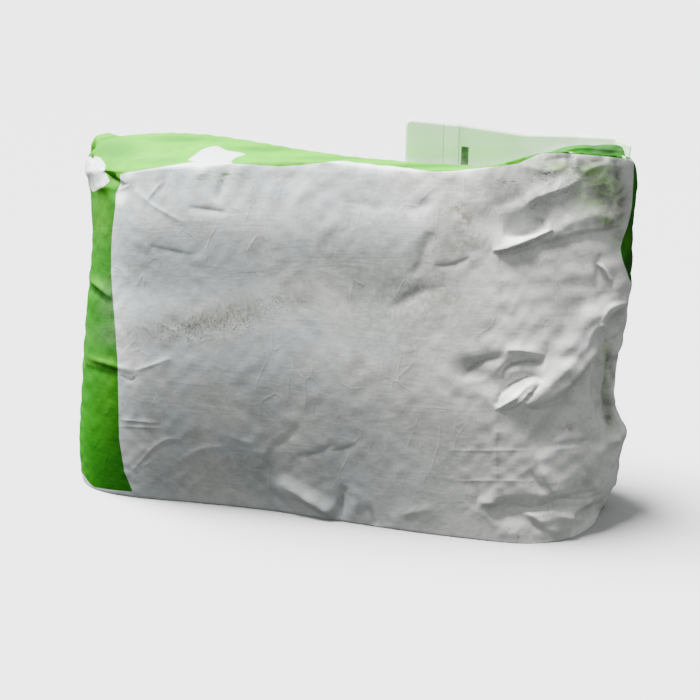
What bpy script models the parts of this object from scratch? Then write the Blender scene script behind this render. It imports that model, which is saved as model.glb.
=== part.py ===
"""Filled cement sack of 20 kg, standing on its long edge, in metres, +Z up.

The sack is one welded tube of printed plastic film. Its front panel faces -Y and the tube runs along X.
The left end is packed full. The right end is empty film: it is flattened, folded back behind the sack,
and stands a little above it as a flap. Film and fill are one solid, because the film is 0.15 mm thick.
The origin is on the floor, under the middle of the sack.
"""

from collections import namedtuple

import bpy
import bmesh
import numpy as np
from mathutils import Vector
from mathutils.geometry import intersect_point_line

# The sack is moulded over a box that is cut into cells along X, Y and Z, then smoothed.
# Inner cell lines are moved towards the edges by a power below 1, so that the edges are rounded less.
BOX_CELLS = (11, 3, 6)
EDGE_CROWDING = 0.8
SMOOTH_STEPS = 2
# The gussets are ironed in at the factory, so the long edges stay sharper than the rest (0 round, 1 sharp)
GUSSET_CREASE = 0.55
# The underside hangs this far below the floor before the floor trims it to the flat that it stands on
UNDERSIDE_SAG = 0.012

# One row for each cell line along the sack, from the left end to the right end, in metres.
# x: where the line is. front and back: how far the two panels stand from the middle plane at the foot,
# the belly and the shoulder. top: height of the front edge, the middle and the back edge of the top.
# The belly is where the sack is thickest, at this share of the panels' height.
BELLY_SHARE = 0.45
FACE_HEIGHT = 0.280
Line = namedtuple("Line", "x front back top")
LINES = (
    Line(-0.226, (0.018, 0.018, 0.013), (0.018, 0.024, 0.022), (0.262, 0.279, 0.282)),
    Line(-0.211, (0.041, 0.038, 0.029), (0.044, 0.048, 0.042), (0.264, 0.288, 0.288)),
    Line(-0.172, (0.050, 0.062, 0.050), (0.062, 0.070, 0.058), (0.266, 0.295, 0.291)),
    Line(-0.119, (0.048, 0.070, 0.055), (0.066, 0.075, 0.060), (0.272, 0.296, 0.290)),
    Line(-0.059, (0.049, 0.072, 0.055), (0.068, 0.077, 0.059), (0.2745, 0.287, 0.281)),
    Line(0.001, (0.057, 0.074, 0.053), (0.068, 0.077, 0.058), (0.279, 0.277, 0.272)),
    Line(0.061, (0.066, 0.074, 0.050), (0.068, 0.077, 0.054), (0.270, 0.270, 0.2695)),
    Line(0.116, (0.070, 0.073, 0.046), (0.066, 0.074, 0.048), (0.273, 0.267, 0.267)),
    Line(0.144, (0.071, 0.070, 0.041), (0.064, 0.069, 0.044), (0.283, 0.259, 0.266)),
    Line(0.170, (0.070, 0.065, 0.035), (0.059, 0.062, 0.037), (0.285, 0.252, 0.286)),
    Line(0.206, (0.055, 0.048, 0.024), (0.042, 0.046, 0.026), (0.281, 0.250, 0.286)),
    Line(0.228, (0.022, 0.020, 0.012), (0.018, 0.024, 0.014), (0.279, 0.260, 0.287)),
)

# How far the two ends lean in or bulge out at these heights, and how much the cell lines follow them,
# from the end inwards
END_HEIGHTS = (0.0, 0.03, 0.073, 0.134, 0.195, 0.24, 0.28)
LEFT_END_OUT = (0.002, 0.004, -0.0055, -0.0145, -0.0265, -0.0365, -0.018)
RIGHT_END_OUT = (-0.009, 0.004, 0.001, -0.009, -0.002, -0.011, -0.004)
END_FOLLOWS = (1.0, 0.9, 0.5, 0.2)

# Dents and bulges that the rows are too coarse for, each made like the stroke of a soft brush: the stroke's
# route over the film, how far it reaches to the sides, and how far it moves the film right, back and up
Dent = namedtuple("Dent", "route reach move")
DENTS = (
    # The hollow that is bitten into the right end, and the lips of film above and below it
    Dent(((0.214, -0.030, 0.160), (0.207, -0.036, 0.140), (0.206, -0.036, 0.115), (0.213, -0.031, 0.088)),
         0.018, (-0.009, 0.009, 0.0)),
    Dent(((0.222, -0.020, 0.122), (0.222, -0.004, 0.096)), 0.026, (-0.006, 0.0, 0.0)),
    Dent(((0.200, -0.046, 0.172), (0.216, -0.036, 0.184)), 0.020, (0.003, -0.003, 0.0)),
    Dent(((0.222, -0.026, 0.076), (0.222, -0.010, 0.070)), 0.020, (0.005, -0.001, 0.0)),
    # The ridge that runs down from the hollow, and the dent above its foot
    Dent(((0.146, -0.071, 0.113), (0.170, -0.066, 0.132), (0.180, -0.061, 0.150), (0.194, -0.052, 0.170)),
         0.016, (0.001, -0.0045, 0.001)),
    Dent(((0.106, -0.074, 0.136), (0.124, -0.073, 0.128), (0.142, -0.071, 0.126)), 0.014, (0.0, 0.003, 0.0)),
    Dent(((0.163, -0.067, 0.084), (0.176, -0.063, 0.102), (0.188, -0.058, 0.116)), 0.014, (0.0, 0.003, 0.0)),
    # The crease under the overhanging belly, and the tuck where the foot turns in at the right
    Dent(((0.139, -0.070, 0.026), (0.168, -0.064, 0.029), (0.196, -0.052, 0.037)), 0.014, (0.0, 0.006, 0.0)),
    Dent(((0.200, -0.046, 0.010), (0.222, -0.026, 0.011)), 0.020, (-0.010, 0.006, 0.001)),
    # The folds that the empty corner at the upper right pulls into the front panel
    Dent(((0.112, -0.064, 0.240), (0.130, -0.061, 0.237), (0.148, -0.058, 0.236)), 0.018, (0.0, 0.0045, 0.0)),
    Dent(((0.118, -0.067, 0.219), (0.140, -0.062, 0.223), (0.158, -0.057, 0.235)), 0.012, (0.0, -0.004, 0.0)),
    Dent(((0.160, -0.054, 0.232), (0.186, -0.046, 0.242), (0.206, -0.036, 0.236)), 0.014, (0.0, -0.003, 0.0)),
    Dent(((0.137, -0.056, 0.247), (0.156, -0.052, 0.257), (0.176, -0.044, 0.268)), 0.013, (0.0, -0.003, 0.0)),
    Dent(((0.206, -0.037, 0.228), (0.213, -0.030, 0.222)), 0.020, (-0.001, 0.003, 0.0)),
    # The fold along the foot at the left
    Dent(((-0.030, -0.058, 0.026), (0.000, -0.058, 0.009)), 0.014, (0.0, -0.003, 0.0)),
    # The pulled-up corner at the upper left, and the pinch beside it
    Dent(((-0.170, -0.030, 0.276), (-0.184, 0.000, 0.276)), 0.034, (-0.002, 0.0, 0.003)),
    Dent(((-0.188, -0.026, 0.256), (-0.200, 0.000, 0.252)), 0.026, (0.003, 0.0, 0.0)),
    Dent(((-0.163, -0.046, 0.270), (-0.152, -0.050, 0.255)), 0.012, (0.0, 0.004, 0.0)),
)

# The flattened tube end that is folded back behind the sack. Its route is seen from above, from its free
# edge to inside the right end, at the belly's height. It lies on the back panel, so it leans in by these
# shares at the foot and the shoulder.
FLAP_THICKNESS = 0.0024
FLAP_ROUTE_X = (0.049, 0.096, 0.141, 0.181, 0.208, 0.216)
FLAP_ROUTE_Y = (0.0752, 0.0738, 0.0675, 0.0555, 0.0415, 0.0120)
FLAP_TOP_Z = (0.3030, 0.2985, 0.2920, 0.2915, 0.2905, 0.2860)
FLAP_LEAN = (0.94, 1.00, 0.72)
FLAP_FOOT_Z = 0.030
FLAP_CELLS = (10, 8)

# The block under the floor that trims the underside: its length, depth and height
FLOOR_BLOCK = (0.8, 0.4, 0.1)

FILM_WHITE = (0.78, 0.79, 0.78, 1.0)
FILM_ROUGHNESS = 0.42


def clear_scene():
    for old in list(bpy.data.objects):
        bpy.data.objects.remove(old, do_unlink=True)


def new_collection(name):
    collection = bpy.data.collections.new(name)
    bpy.context.scene.collection.children.link(collection)
    return collection


def film_material():
    """White printed polyethylene film with a satin face."""
    material = bpy.data.materials.new("printed_film")
    material.use_nodes = True
    shader = material.node_tree.nodes["Principled BSDF"]
    shader.inputs["Base Color"].default_value = FILM_WHITE
    shader.inputs["Roughness"].default_value = FILM_ROUGHNESS
    shader.inputs["Metallic"].default_value = 0.0
    return material


def object_from(mesh_builder, name, collection):
    """A new object holding the mesh that mesh_builder makes."""
    mesh = bpy.data.meshes.new(name)
    mesh_builder.to_mesh(mesh)
    mesh_builder.free()
    made = bpy.data.objects.new(name, mesh)
    collection.objects.link(made)
    return made


def smoothed(shape, steps):
    smooth = shape.modifiers.new("smooth", "SUBSURF")
    smooth.levels = steps
    smooth.render_levels = steps
    smooth.boundary_smooth = "PRESERVE_CORNERS"


def cut_edges_along(box, axis, cuts):
    """Cuts every edge that runs along one axis, so that the box gets cuts + 1 cells that way."""
    running = [
        edge for edge in box.edges
        if abs((edge.verts[0].co - edge.verts[1].co).normalized()[axis]) > 0.99
    ]
    bmesh.ops.subdivide_edges(box, edges=running, cuts=cuts, use_grid_fill=True)


def crowded_to_edges(share):
    """Moves an inner cell line towards the edge of the box, so that smoothing rounds the edge less."""
    return np.sign(share) * abs(share) ** EDGE_CROWDING


def end_shift(number, z):
    """How far a cell line, counted from the left end, moves along X at height z to form the sack's ends."""
    counted_from_right = len(LINES) - 1 - number
    if number < len(END_FOLLOWS):
        return -END_FOLLOWS[number] * np.interp(z, END_HEIGHTS, LEFT_END_OUT)
    if counted_from_right < len(END_FOLLOWS):
        return END_FOLLOWS[counted_from_right] * np.interp(z, END_HEIGHTS, RIGHT_END_OUT)
    return 0.0


def sack_point(across, back, up):
    """Where a corner of the box, with each side from -1 to 1, lies on the sack's cage."""
    number = round((across + 1) / 2 * BOX_CELLS[0])
    line = LINES[number]
    back = crowded_to_edges(back)
    height_share = (crowded_to_edges(up) + 1) / 2
    top = np.interp(back, (-1, 0, 1), line.top)
    z = -UNDERSIDE_SAG + (top + UNDERSIDE_SAG) * height_share
    panel = line.front if back < 0 else line.back
    y = back * np.interp(height_share, (0, BELLY_SHARE, 1), panel)
    return line.x + end_shift(number, z), y, z


def is_long_edge(edge):
    """True for the four edges of the box that run the whole length of the sack."""
    return all(abs(abs(end.co.y) - 1) < 0.01 and abs(abs(end.co.z) - 1) < 0.01 for end in edge.verts)


def apply_modifiers(shape):
    """Bakes a shape's modifiers into its mesh."""
    view = bpy.context.evaluated_depsgraph_get()
    baked = bpy.data.meshes.new_from_object(shape.evaluated_get(view), depsgraph=view)
    shape.modifiers.clear()
    shape.data = baked


def distance_to_route(point, route):
    """How far a point is from the nearest place on a route."""
    distances = []
    for start, end in zip(route, route[1:]):
        start, end = Vector(start), Vector(end)
        share = intersect_point_line(point, start, end)[1]
        nearest = start.lerp(end, min(max(share, 0), 1))
        distances.append((point - nearest).length)
    return min(distances)


def soft_brush(distance, reach):
    """How strongly a stroke works at a distance from its route: 1 on the route and 0 from its reach on."""
    share = 1 - min(distance / reach, 1)
    return share * share * (3 - 2 * share)


def press_dents(shape):
    """Moves the points of a shape by every stroke, measured on the shape as it was before the strokes."""
    for vertex in shape.data.vertices:
        move = Vector()
        for dent in DENTS:
            move += Vector(dent.move) * soft_brush(distance_to_route(vertex.co, dent.route), dent.reach)
        vertex.co += move


def filled_sack(collection):
    """The filled part: the box in cells, moulded to the sack's form, smoothed and dented."""
    box = bmesh.new()
    bmesh.ops.create_cube(box, size=2)
    for axis, cells in enumerate(BOX_CELLS):
        cut_edges_along(box, axis, cells - 1)
    crease = box.edges.layers.float.new("crease_edge")
    for edge in box.edges:
        if is_long_edge(edge):
            edge[crease] = GUSSET_CREASE
    for corner in box.verts:
        corner.co = sack_point(*corner.co)
    sack = object_from(box, "sack", collection)
    smoothed(sack, SMOOTH_STEPS)
    apply_modifiers(sack)
    press_dents(sack)
    return sack


def flap_point(along, height_share):
    """Where a point of the flap lies: along runs from -1 at its free edge to 1 at the sack's right end."""
    route_share = np.linspace(-1, 1, len(FLAP_ROUTE_X))
    top = np.interp(along, route_share, FLAP_TOP_Z)
    z = FLAP_FOOT_Z + (top - FLAP_FOOT_Z) * height_share
    lean = np.interp(z / FACE_HEIGHT, (0, BELLY_SHARE, 1), FLAP_LEAN)
    return np.interp(along, route_share, FLAP_ROUTE_X), np.interp(along, route_share, FLAP_ROUTE_Y) * lean, z


def flap_sheet(collection):
    """The flattened tube end: a grid bent along its route behind the sack, then given its thickness."""
    grid = bmesh.new()
    bmesh.ops.create_grid(grid, x_segments=FLAP_CELLS[0], y_segments=FLAP_CELLS[1], size=1)
    for corner in grid.verts:
        corner.co = flap_point(corner.co.x, (corner.co.y + 1) / 2)
    sheet = object_from(grid, "flap_sheet", collection)
    smoothed(sheet, 1)
    wall = sheet.modifiers.new("wall", "SOLIDIFY")
    wall.thickness = FLAP_THICKNESS
    wall.offset = 0
    return sheet


def floor_block(collection):
    """A block under the floor, whose top trims the underside flat at z = 0."""
    block = bmesh.new()
    bmesh.ops.create_cube(block, size=1)
    bmesh.ops.scale(block, verts=block.verts, vec=FLOOR_BLOCK)
    bmesh.ops.translate(block, verts=block.verts, vec=(0, 0, -FLOOR_BLOCK[2] / 2))
    return object_from(block, "floor_block", collection)


def helper(shape):
    """Marks a shape that only cuts or joins, and isn't a piece of the sack itself."""
    shape.hide_render = True
    shape.display_type = "WIRE"


def combine(target, other, operation):
    boolean = target.modifiers.new(other.name, "BOOLEAN")
    boolean.operation = operation
    boolean.object = other
    boolean.solver = "EXACT"


def main():
    clear_scene()
    parts = new_collection("cement_sack")
    cutters = new_collection("cutters")
    sack = filled_sack(parts)
    sack.data.materials.append(film_material())
    flap = flap_sheet(cutters)
    floor = floor_block(cutters)
    combine(sack, flap, "UNION")
    combine(sack, floor, "DIFFERENCE")
    helper(flap)
    helper(floor)
    sack.data.shade_smooth()


main()
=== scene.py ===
# %% [markdown]
# # A filled sack of printed film
# The real object is a tube of thin polyethylene film, printed green and white, welded shut at both ends
# and filled with powder. It stands on its long edge. The left end is packed full, and the right end is
# empty film that has been folded back behind the sack. Nothing on it is sewn or stuck on, so the whole
# lesson is about one skin: how powder fills it, how it creases, and how it shines.
#
# The frame that is loaded here is the solid model. It gives the real size and place, in metres.

# %% Load the frame
import math
from collections import namedtuple

import bmesh
import bpy
import numpy as np
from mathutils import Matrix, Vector
from mathutils.bvhtree import BVHTree
from mathutils.kdtree import KDTree


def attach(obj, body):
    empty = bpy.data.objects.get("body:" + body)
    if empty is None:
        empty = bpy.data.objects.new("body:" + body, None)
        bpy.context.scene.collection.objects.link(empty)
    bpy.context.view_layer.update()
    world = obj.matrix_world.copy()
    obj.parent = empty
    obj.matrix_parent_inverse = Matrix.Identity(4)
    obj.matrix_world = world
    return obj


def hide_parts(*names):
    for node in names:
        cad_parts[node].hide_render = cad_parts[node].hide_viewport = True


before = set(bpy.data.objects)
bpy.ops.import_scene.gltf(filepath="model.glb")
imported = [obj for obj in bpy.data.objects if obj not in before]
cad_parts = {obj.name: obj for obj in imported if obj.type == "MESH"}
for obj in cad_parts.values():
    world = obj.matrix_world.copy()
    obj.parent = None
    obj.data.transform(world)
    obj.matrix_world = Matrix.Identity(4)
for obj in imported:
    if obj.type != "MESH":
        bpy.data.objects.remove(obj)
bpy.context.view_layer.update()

# %% [markdown]
# ## The camera comes first
# Every fold will be placed where the photograph shows it, so the camera has to be right before the film
# is touched. It stands a little to the right of the front and looks down on the sack. Its lens, height
# and distance were found by comparing the sack's outline and its foot line with the photograph.
# `place_in_photo` gives the line of sight of one picture point, counted in pixels from the top left.

# %% Camera
PHOTO_WIDTH = 700
FOCAL_LENGTH_IN_PIXELS = 750
SENSOR_WIDTH_MM = 36
CAMERA_TURN, CAMERA_RISE = math.radians(9), math.radians(18)
CAMERA_DISTANCE = 0.613
AIM = Vector((0.012, 0.0, 0.123))

camera_data = bpy.data.cameras.new("photo_camera")
camera_data.sensor_width = SENSOR_WIDTH_MM
camera_data.lens = SENSOR_WIDTH_MM * FOCAL_LENGTH_IN_PIXELS / PHOTO_WIDTH
camera_data.clip_start = 0.01
camera = bpy.data.objects.new("photo_camera", camera_data)
bpy.context.scene.collection.objects.link(camera)
bpy.context.scene.camera = camera
towards_camera = Vector((
    math.sin(CAMERA_TURN) * math.cos(CAMERA_RISE),
    -math.cos(CAMERA_TURN) * math.cos(CAMERA_RISE),
    math.sin(CAMERA_RISE),
))
camera.location = AIM + towards_camera * CAMERA_DISTANCE
camera_turn = (-towards_camera).to_track_quat("-Z", "Y")
camera.rotation_mode = "QUATERNION"
camera.rotation_quaternion = camera_turn


def place_in_photo(column, row):
    """The line of sight through a point of the photograph."""
    middle = PHOTO_WIDTH / 2
    return camera_turn @ Vector((column - middle, middle - row, -FOCAL_LENGTH_IN_PIXELS)).normalized()


print("camera at", tuple(round(v, 3) for v in camera.location), "lens", round(camera_data.lens, 2), "mm")

# %% [markdown]
# ## The filled form
# Powder in film makes one rounded block with soft edges. A box that is cut into cells and moulded to the
# sack's widths and heights, then smoothed by subdivision, gives exactly that. The rows below are the
# same as in the solid model, so both have one form. The long edges of the box get a crease weight,
# because the tube's gussets are ironed in at the factory and stay as edges when the sack is full.

# %% The sack's rows
BOX_CELLS = (11, 3, 6)
EDGE_CROWDING = 0.8
UNDERSIDE_SAG = 0.012
BELLY_SHARE = 0.45
Line = namedtuple("Line", "x front back top")
LINES = (
    Line(-0.226, (0.018, 0.018, 0.013), (0.018, 0.024, 0.022), (0.262, 0.279, 0.282)),
    Line(-0.211, (0.041, 0.038, 0.029), (0.044, 0.048, 0.042), (0.264, 0.288, 0.288)),
    Line(-0.172, (0.050, 0.062, 0.050), (0.062, 0.070, 0.058), (0.266, 0.295, 0.291)),
    Line(-0.119, (0.048, 0.070, 0.055), (0.066, 0.075, 0.060), (0.272, 0.296, 0.290)),
    Line(-0.059, (0.049, 0.072, 0.055), (0.068, 0.077, 0.059), (0.2745, 0.287, 0.281)),
    Line(0.001, (0.057, 0.074, 0.053), (0.068, 0.077, 0.058), (0.279, 0.277, 0.272)),
    Line(0.061, (0.066, 0.074, 0.050), (0.068, 0.077, 0.054), (0.270, 0.270, 0.2695)),
    Line(0.116, (0.070, 0.073, 0.046), (0.066, 0.074, 0.048), (0.273, 0.267, 0.267)),
    Line(0.144, (0.071, 0.070, 0.041), (0.064, 0.069, 0.044), (0.283, 0.259, 0.266)),
    Line(0.170, (0.070, 0.065, 0.035), (0.059, 0.062, 0.037), (0.285, 0.252, 0.286)),
    Line(0.206, (0.055, 0.048, 0.024), (0.042, 0.046, 0.026), (0.281, 0.250, 0.286)),
    Line(0.228, (0.022, 0.020, 0.012), (0.018, 0.024, 0.014), (0.279, 0.260, 0.287)),
)
END_HEIGHTS = (0.0, 0.03, 0.073, 0.134, 0.195, 0.24, 0.28)
LEFT_END_OUT = (0.002, 0.004, -0.0055, -0.0145, -0.0265, -0.0365, -0.018)
RIGHT_END_OUT = (-0.009, 0.004, 0.001, -0.009, -0.002, -0.011, -0.004)
END_FOLLOWS = (1.0, 0.9, 0.5, 0.2)


def crowded_to_edges(share):
    """Moves an inner cell line towards the edge of the box, so that smoothing rounds the edge less."""
    return np.sign(share) * abs(share) ** EDGE_CROWDING


def end_shift(number, z):
    """How far a cell line, counted from the left end, moves along X at height z to form the sack's ends."""
    counted_from_right = len(LINES) - 1 - number
    if number < len(END_FOLLOWS):
        return -END_FOLLOWS[number] * np.interp(z, END_HEIGHTS, LEFT_END_OUT)
    if counted_from_right < len(END_FOLLOWS):
        return END_FOLLOWS[counted_from_right] * np.interp(z, END_HEIGHTS, RIGHT_END_OUT)
    return 0.0


def sack_point(across, back, up):
    """Where a corner of the box, with each side from -1 to 1, lies on the sack's cage."""
    number = round((across + 1) / 2 * BOX_CELLS[0])
    line = LINES[number]
    back = crowded_to_edges(back)
    height_share = (crowded_to_edges(up) + 1) / 2
    top = np.interp(back, (-1, 0, 1), line.top)
    z = -UNDERSIDE_SAG + (top + UNDERSIDE_SAG) * height_share
    panel = line.front if back < 0 else line.back
    y = back * np.interp(height_share, (0, BELLY_SHARE, 1), panel)
    return line.x + end_shift(number, z), y, z


print("sack cage:", len(LINES), "lines along the tube, from", LINES[0].x, "to", LINES[-1].x, "m")

# %% [markdown]
# Cutting a box into cells is done edge by edge, along one axis at a time. Each corner of the box keeps
# a note of where it sat on the plain box. That note is later read as "how far along the tube and how
# far round it", which is what a printer would call the place on the film.

# %% Box helpers
def cut_edges_along(box, axis, cuts):
    running = [
        edge for edge in box.edges
        if abs((edge.verts[0].co - edge.verts[1].co).normalized()[axis]) > 0.99
    ]
    bmesh.ops.subdivide_edges(box, edges=running, cuts=cuts, use_grid_fill=True)


def is_long_edge(edge):
    """True for the four edges of the box that run the whole length of the tube."""
    ends = [vertex.co for vertex in edge.verts]
    return all(abs(abs(end.y) - 1) < 0.01 and abs(abs(end.z) - 1) < 0.01 for end in ends)


def new_object(name, mesh):
    made = bpy.data.objects.new(name, mesh)
    bpy.context.scene.collection.objects.link(made)
    return made


def applied(piece):
    """Bakes a piece's modifiers into its mesh."""
    view = bpy.context.evaluated_depsgraph_get()
    baked = bpy.data.meshes.new_from_object(piece.evaluated_get(view), depsgraph=view)
    old = piece.data
    piece.modifiers.clear()
    piece.data = baked
    bpy.data.meshes.remove(old)
    baked.name = piece.name


def subdivide(piece, steps):
    smooth = piece.modifiers.new("smooth", "SUBSURF")
    smooth.levels = smooth.render_levels = steps
    bpy.context.view_layer.update()
    applied(piece)


print("the box will have", BOX_CELLS[0] * BOX_CELLS[1] * BOX_CELLS[2], "cells")

# %% [markdown]
# Now the box is made, cut and moulded. Three rounds of subdivision turn it into a smooth skin with faces of
# about 3 mm, fine enough for the cloth step that follows and still quick.

# %% Mould the box
GUSSET_CREASE = 0.55
SMOOTH_STEPS = 3


def moulded_film():
    box = bmesh.new()
    bmesh.ops.create_cube(box, size=2)
    for axis, cells in enumerate(BOX_CELLS):
        cut_edges_along(box, axis, cells - 1)
    on_box = box.verts.layers.float_vector.new("on_box")
    crease = box.edges.layers.float.new("crease_edge")
    for edge in box.edges:
        edge[crease] = GUSSET_CREASE if is_long_edge(edge) else 0.0
    for corner in box.verts:
        corner[on_box] = corner.co
        corner.co = sack_point(*corner.co)
    mesh = bpy.data.meshes.new("film")
    box.to_mesh(mesh)
    box.free()
    film = new_object("film", mesh)
    subdivide(film, SMOOTH_STEPS)
    return film


film = moulded_film()
print("film has", len(film.data.polygons), "faces")

# %% [markdown]
# ## Film as arrays
# A film of fifty thousand faces is best shaped as plain arrays of points. These helpers read the points
# and their outward normals, write them back, and put new points through a few rounds of averaging
# with their neighbours, which irons a surface.

# %% Arrays
def points_of(mesh):
    flat = np.empty(len(mesh.vertices) * 3)
    mesh.vertices.foreach_get("co", flat)
    return flat.reshape(-1, 3)


def normals_of(mesh):
    flat = np.empty(len(mesh.vertices) * 3, dtype=np.float32)
    mesh.vertex_normals.foreach_get("vector", flat)
    return flat.reshape(-1, 3).astype(float)


def set_points(mesh, points):
    mesh.vertices.foreach_set("co", np.ascontiguousarray(points).ravel())
    mesh.update()


def vector_note(mesh, name):
    flat = np.empty(len(mesh.vertices) * 3, dtype=np.float32)
    mesh.attributes[name].data.foreach_get("vector", flat)
    return flat.reshape(-1, 3).astype(float)


def write_note(mesh, name, values, kind="FLOAT"):
    """Keeps one value for each point of a mesh, where a material can read it by name."""
    note = mesh.attributes.new(name, kind, "POINT")
    note.data.foreach_set("value" if kind == "FLOAT" else "vector", np.ascontiguousarray(values).ravel())


def edges_of(mesh):
    flat = np.empty(len(mesh.edges) * 2, dtype=np.int64)
    mesh.edges.foreach_get("vertices", flat)
    return flat.reshape(-1, 2)


def ironed(values, edges, rounds, strength=0.5):
    """Averages each value with those of its neighbours, a few rounds over."""
    first, second = edges.T
    count = np.bincount(edges.ravel(), minlength=len(values)).astype(float)
    values = values.copy()
    columns = values.reshape(len(values), -1)
    for _ in range(rounds):
        for column in range(columns.shape[1]):
            line = columns[:, column]
            total = np.bincount(first, weights=line[second], minlength=len(line))
            total += np.bincount(second, weights=line[first], minlength=len(line))
            columns[:, column] = line + strength * (total / count - line)
    return columns.reshape(values.shape)


def smoothstep(low, high, values):
    share = np.clip((values - low) / (high - low), 0, 1)
    return share * share * (3 - 2 * share)


MM = 0.001
place_on_box = vector_note(film.data, "on_box")
print("film points", len(place_on_box))

# %% [markdown]
# ## Slack in the film
# A filled film is never tight. It was cut wider than the powder fills, so the spare film buckles into soft
# wrinkles, most of all at the empty right end and along the gussets. They could be painted with noise, but
# noise has no direction. Blender's Cloth lets the film grow by a few percent while soft pins hold it to
# the powder, so it buckles the way a real skin does. Gravity is off, because the powder carries the film.

# %% Let the film buckle
SPARE_FILM = 0.03
BUCKLE_FRAMES = 20
BUCKLE_CAP = 0.0040
FIRM_GRIP, LEAST_GRIP = 0.95, 0.2
LOOSER_AT_RIGHT, LOOSER_AT_GUSSETS, LOOSER_AT_LEFT = 0.40, 0.25, 0.25
NEAR_RIGHT_END, NEAR_EDGE = (0.35, 0.95), (0.75, 1.0)
FOOT_HELD_BELOW = 0.004


def grip_of_powder(place):
    """How firmly the powder holds each point: most in the middle of a panel, less at the ends and edges."""
    across, up = place[:, 0], place[:, 2]
    firm = FIRM_GRIP - LOOSER_AT_RIGHT * smoothstep(*NEAR_RIGHT_END, across)
    firm = firm - LOOSER_AT_GUSSETS * smoothstep(*NEAR_EDGE, abs(up))
    return np.clip(firm - LOOSER_AT_LEFT * smoothstep(*NEAR_EDGE, -across), LEAST_GRIP, 1)


def buckle(film, place):
    """Runs Cloth on the film and keeps its result, with each point's move capped."""
    start = points_of(film.data)
    held = film.vertex_groups.new(name="held_by_powder")
    grip = grip_of_powder(place)
    grip[start[:, 2] < FOOT_HELD_BELOW] = 1.0
    for number, weight in enumerate(grip):
        held.add([number], float(weight), "REPLACE")
    cloth = film.modifiers.new("slack", "CLOTH")
    cloth.settings.quality = 5
    cloth.settings.mass = 0.05
    cloth.settings.tension_stiffness = 25
    cloth.settings.compression_stiffness = 25
    cloth.settings.shear_stiffness = 10
    cloth.settings.bending_stiffness = 8.0
    cloth.settings.air_damping = 2
    cloth.settings.vertex_group_mass = held.name
    cloth.settings.pin_stiffness = 1
    cloth.settings.shrink_min = -SPARE_FILM
    cloth.settings.effector_weights.gravity = 0
    cloth.collision_settings.use_collision = False
    cloth.point_cache.frame_start = 1
    cloth.point_cache.frame_end = BUCKLE_FRAMES
    scene = bpy.context.scene
    for frame_number in range(1, BUCKLE_FRAMES + 1):
        scene.frame_set(frame_number)
    applied(film)
    scene.frame_set(1)
    moved = points_of(film.data) - start
    far = np.linalg.norm(moved, axis=1)
    moved *= (BUCKLE_CAP * np.tanh(far / BUCKLE_CAP) / np.maximum(far, 1e-9))[:, None]
    set_points(film.data, start + moved)
    print("film buckled by up to", round(far.max() / MM, 1), "mm, on average", round(far.mean() / MM, 2))


buckle(film, place_on_box)
subdivide(film, 1)
smooth_points = points_of(film.data)
smooth_normals = normals_of(film.data)
film_edges = edges_of(film.data)
on_box = vector_note(film.data, "on_box")
write_note(film.data, "rest", smooth_points, "FLOAT_VECTOR")

# %% [markdown]
# ## Dents that the rows can't give
# The rows hold the large form. Smaller dents and bulges, such as the hollow bitten into the right end and
# the pulled-up corner at the left, are pressed with a soft brush. Sculpt mode does the same with the Grab
# brush: it moves the film beside the stroke, fully on its route and not at all at the brush's rim. The
# strokes are the solid model's own: a route over the film, its reach, and the move right, back and up.

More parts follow.
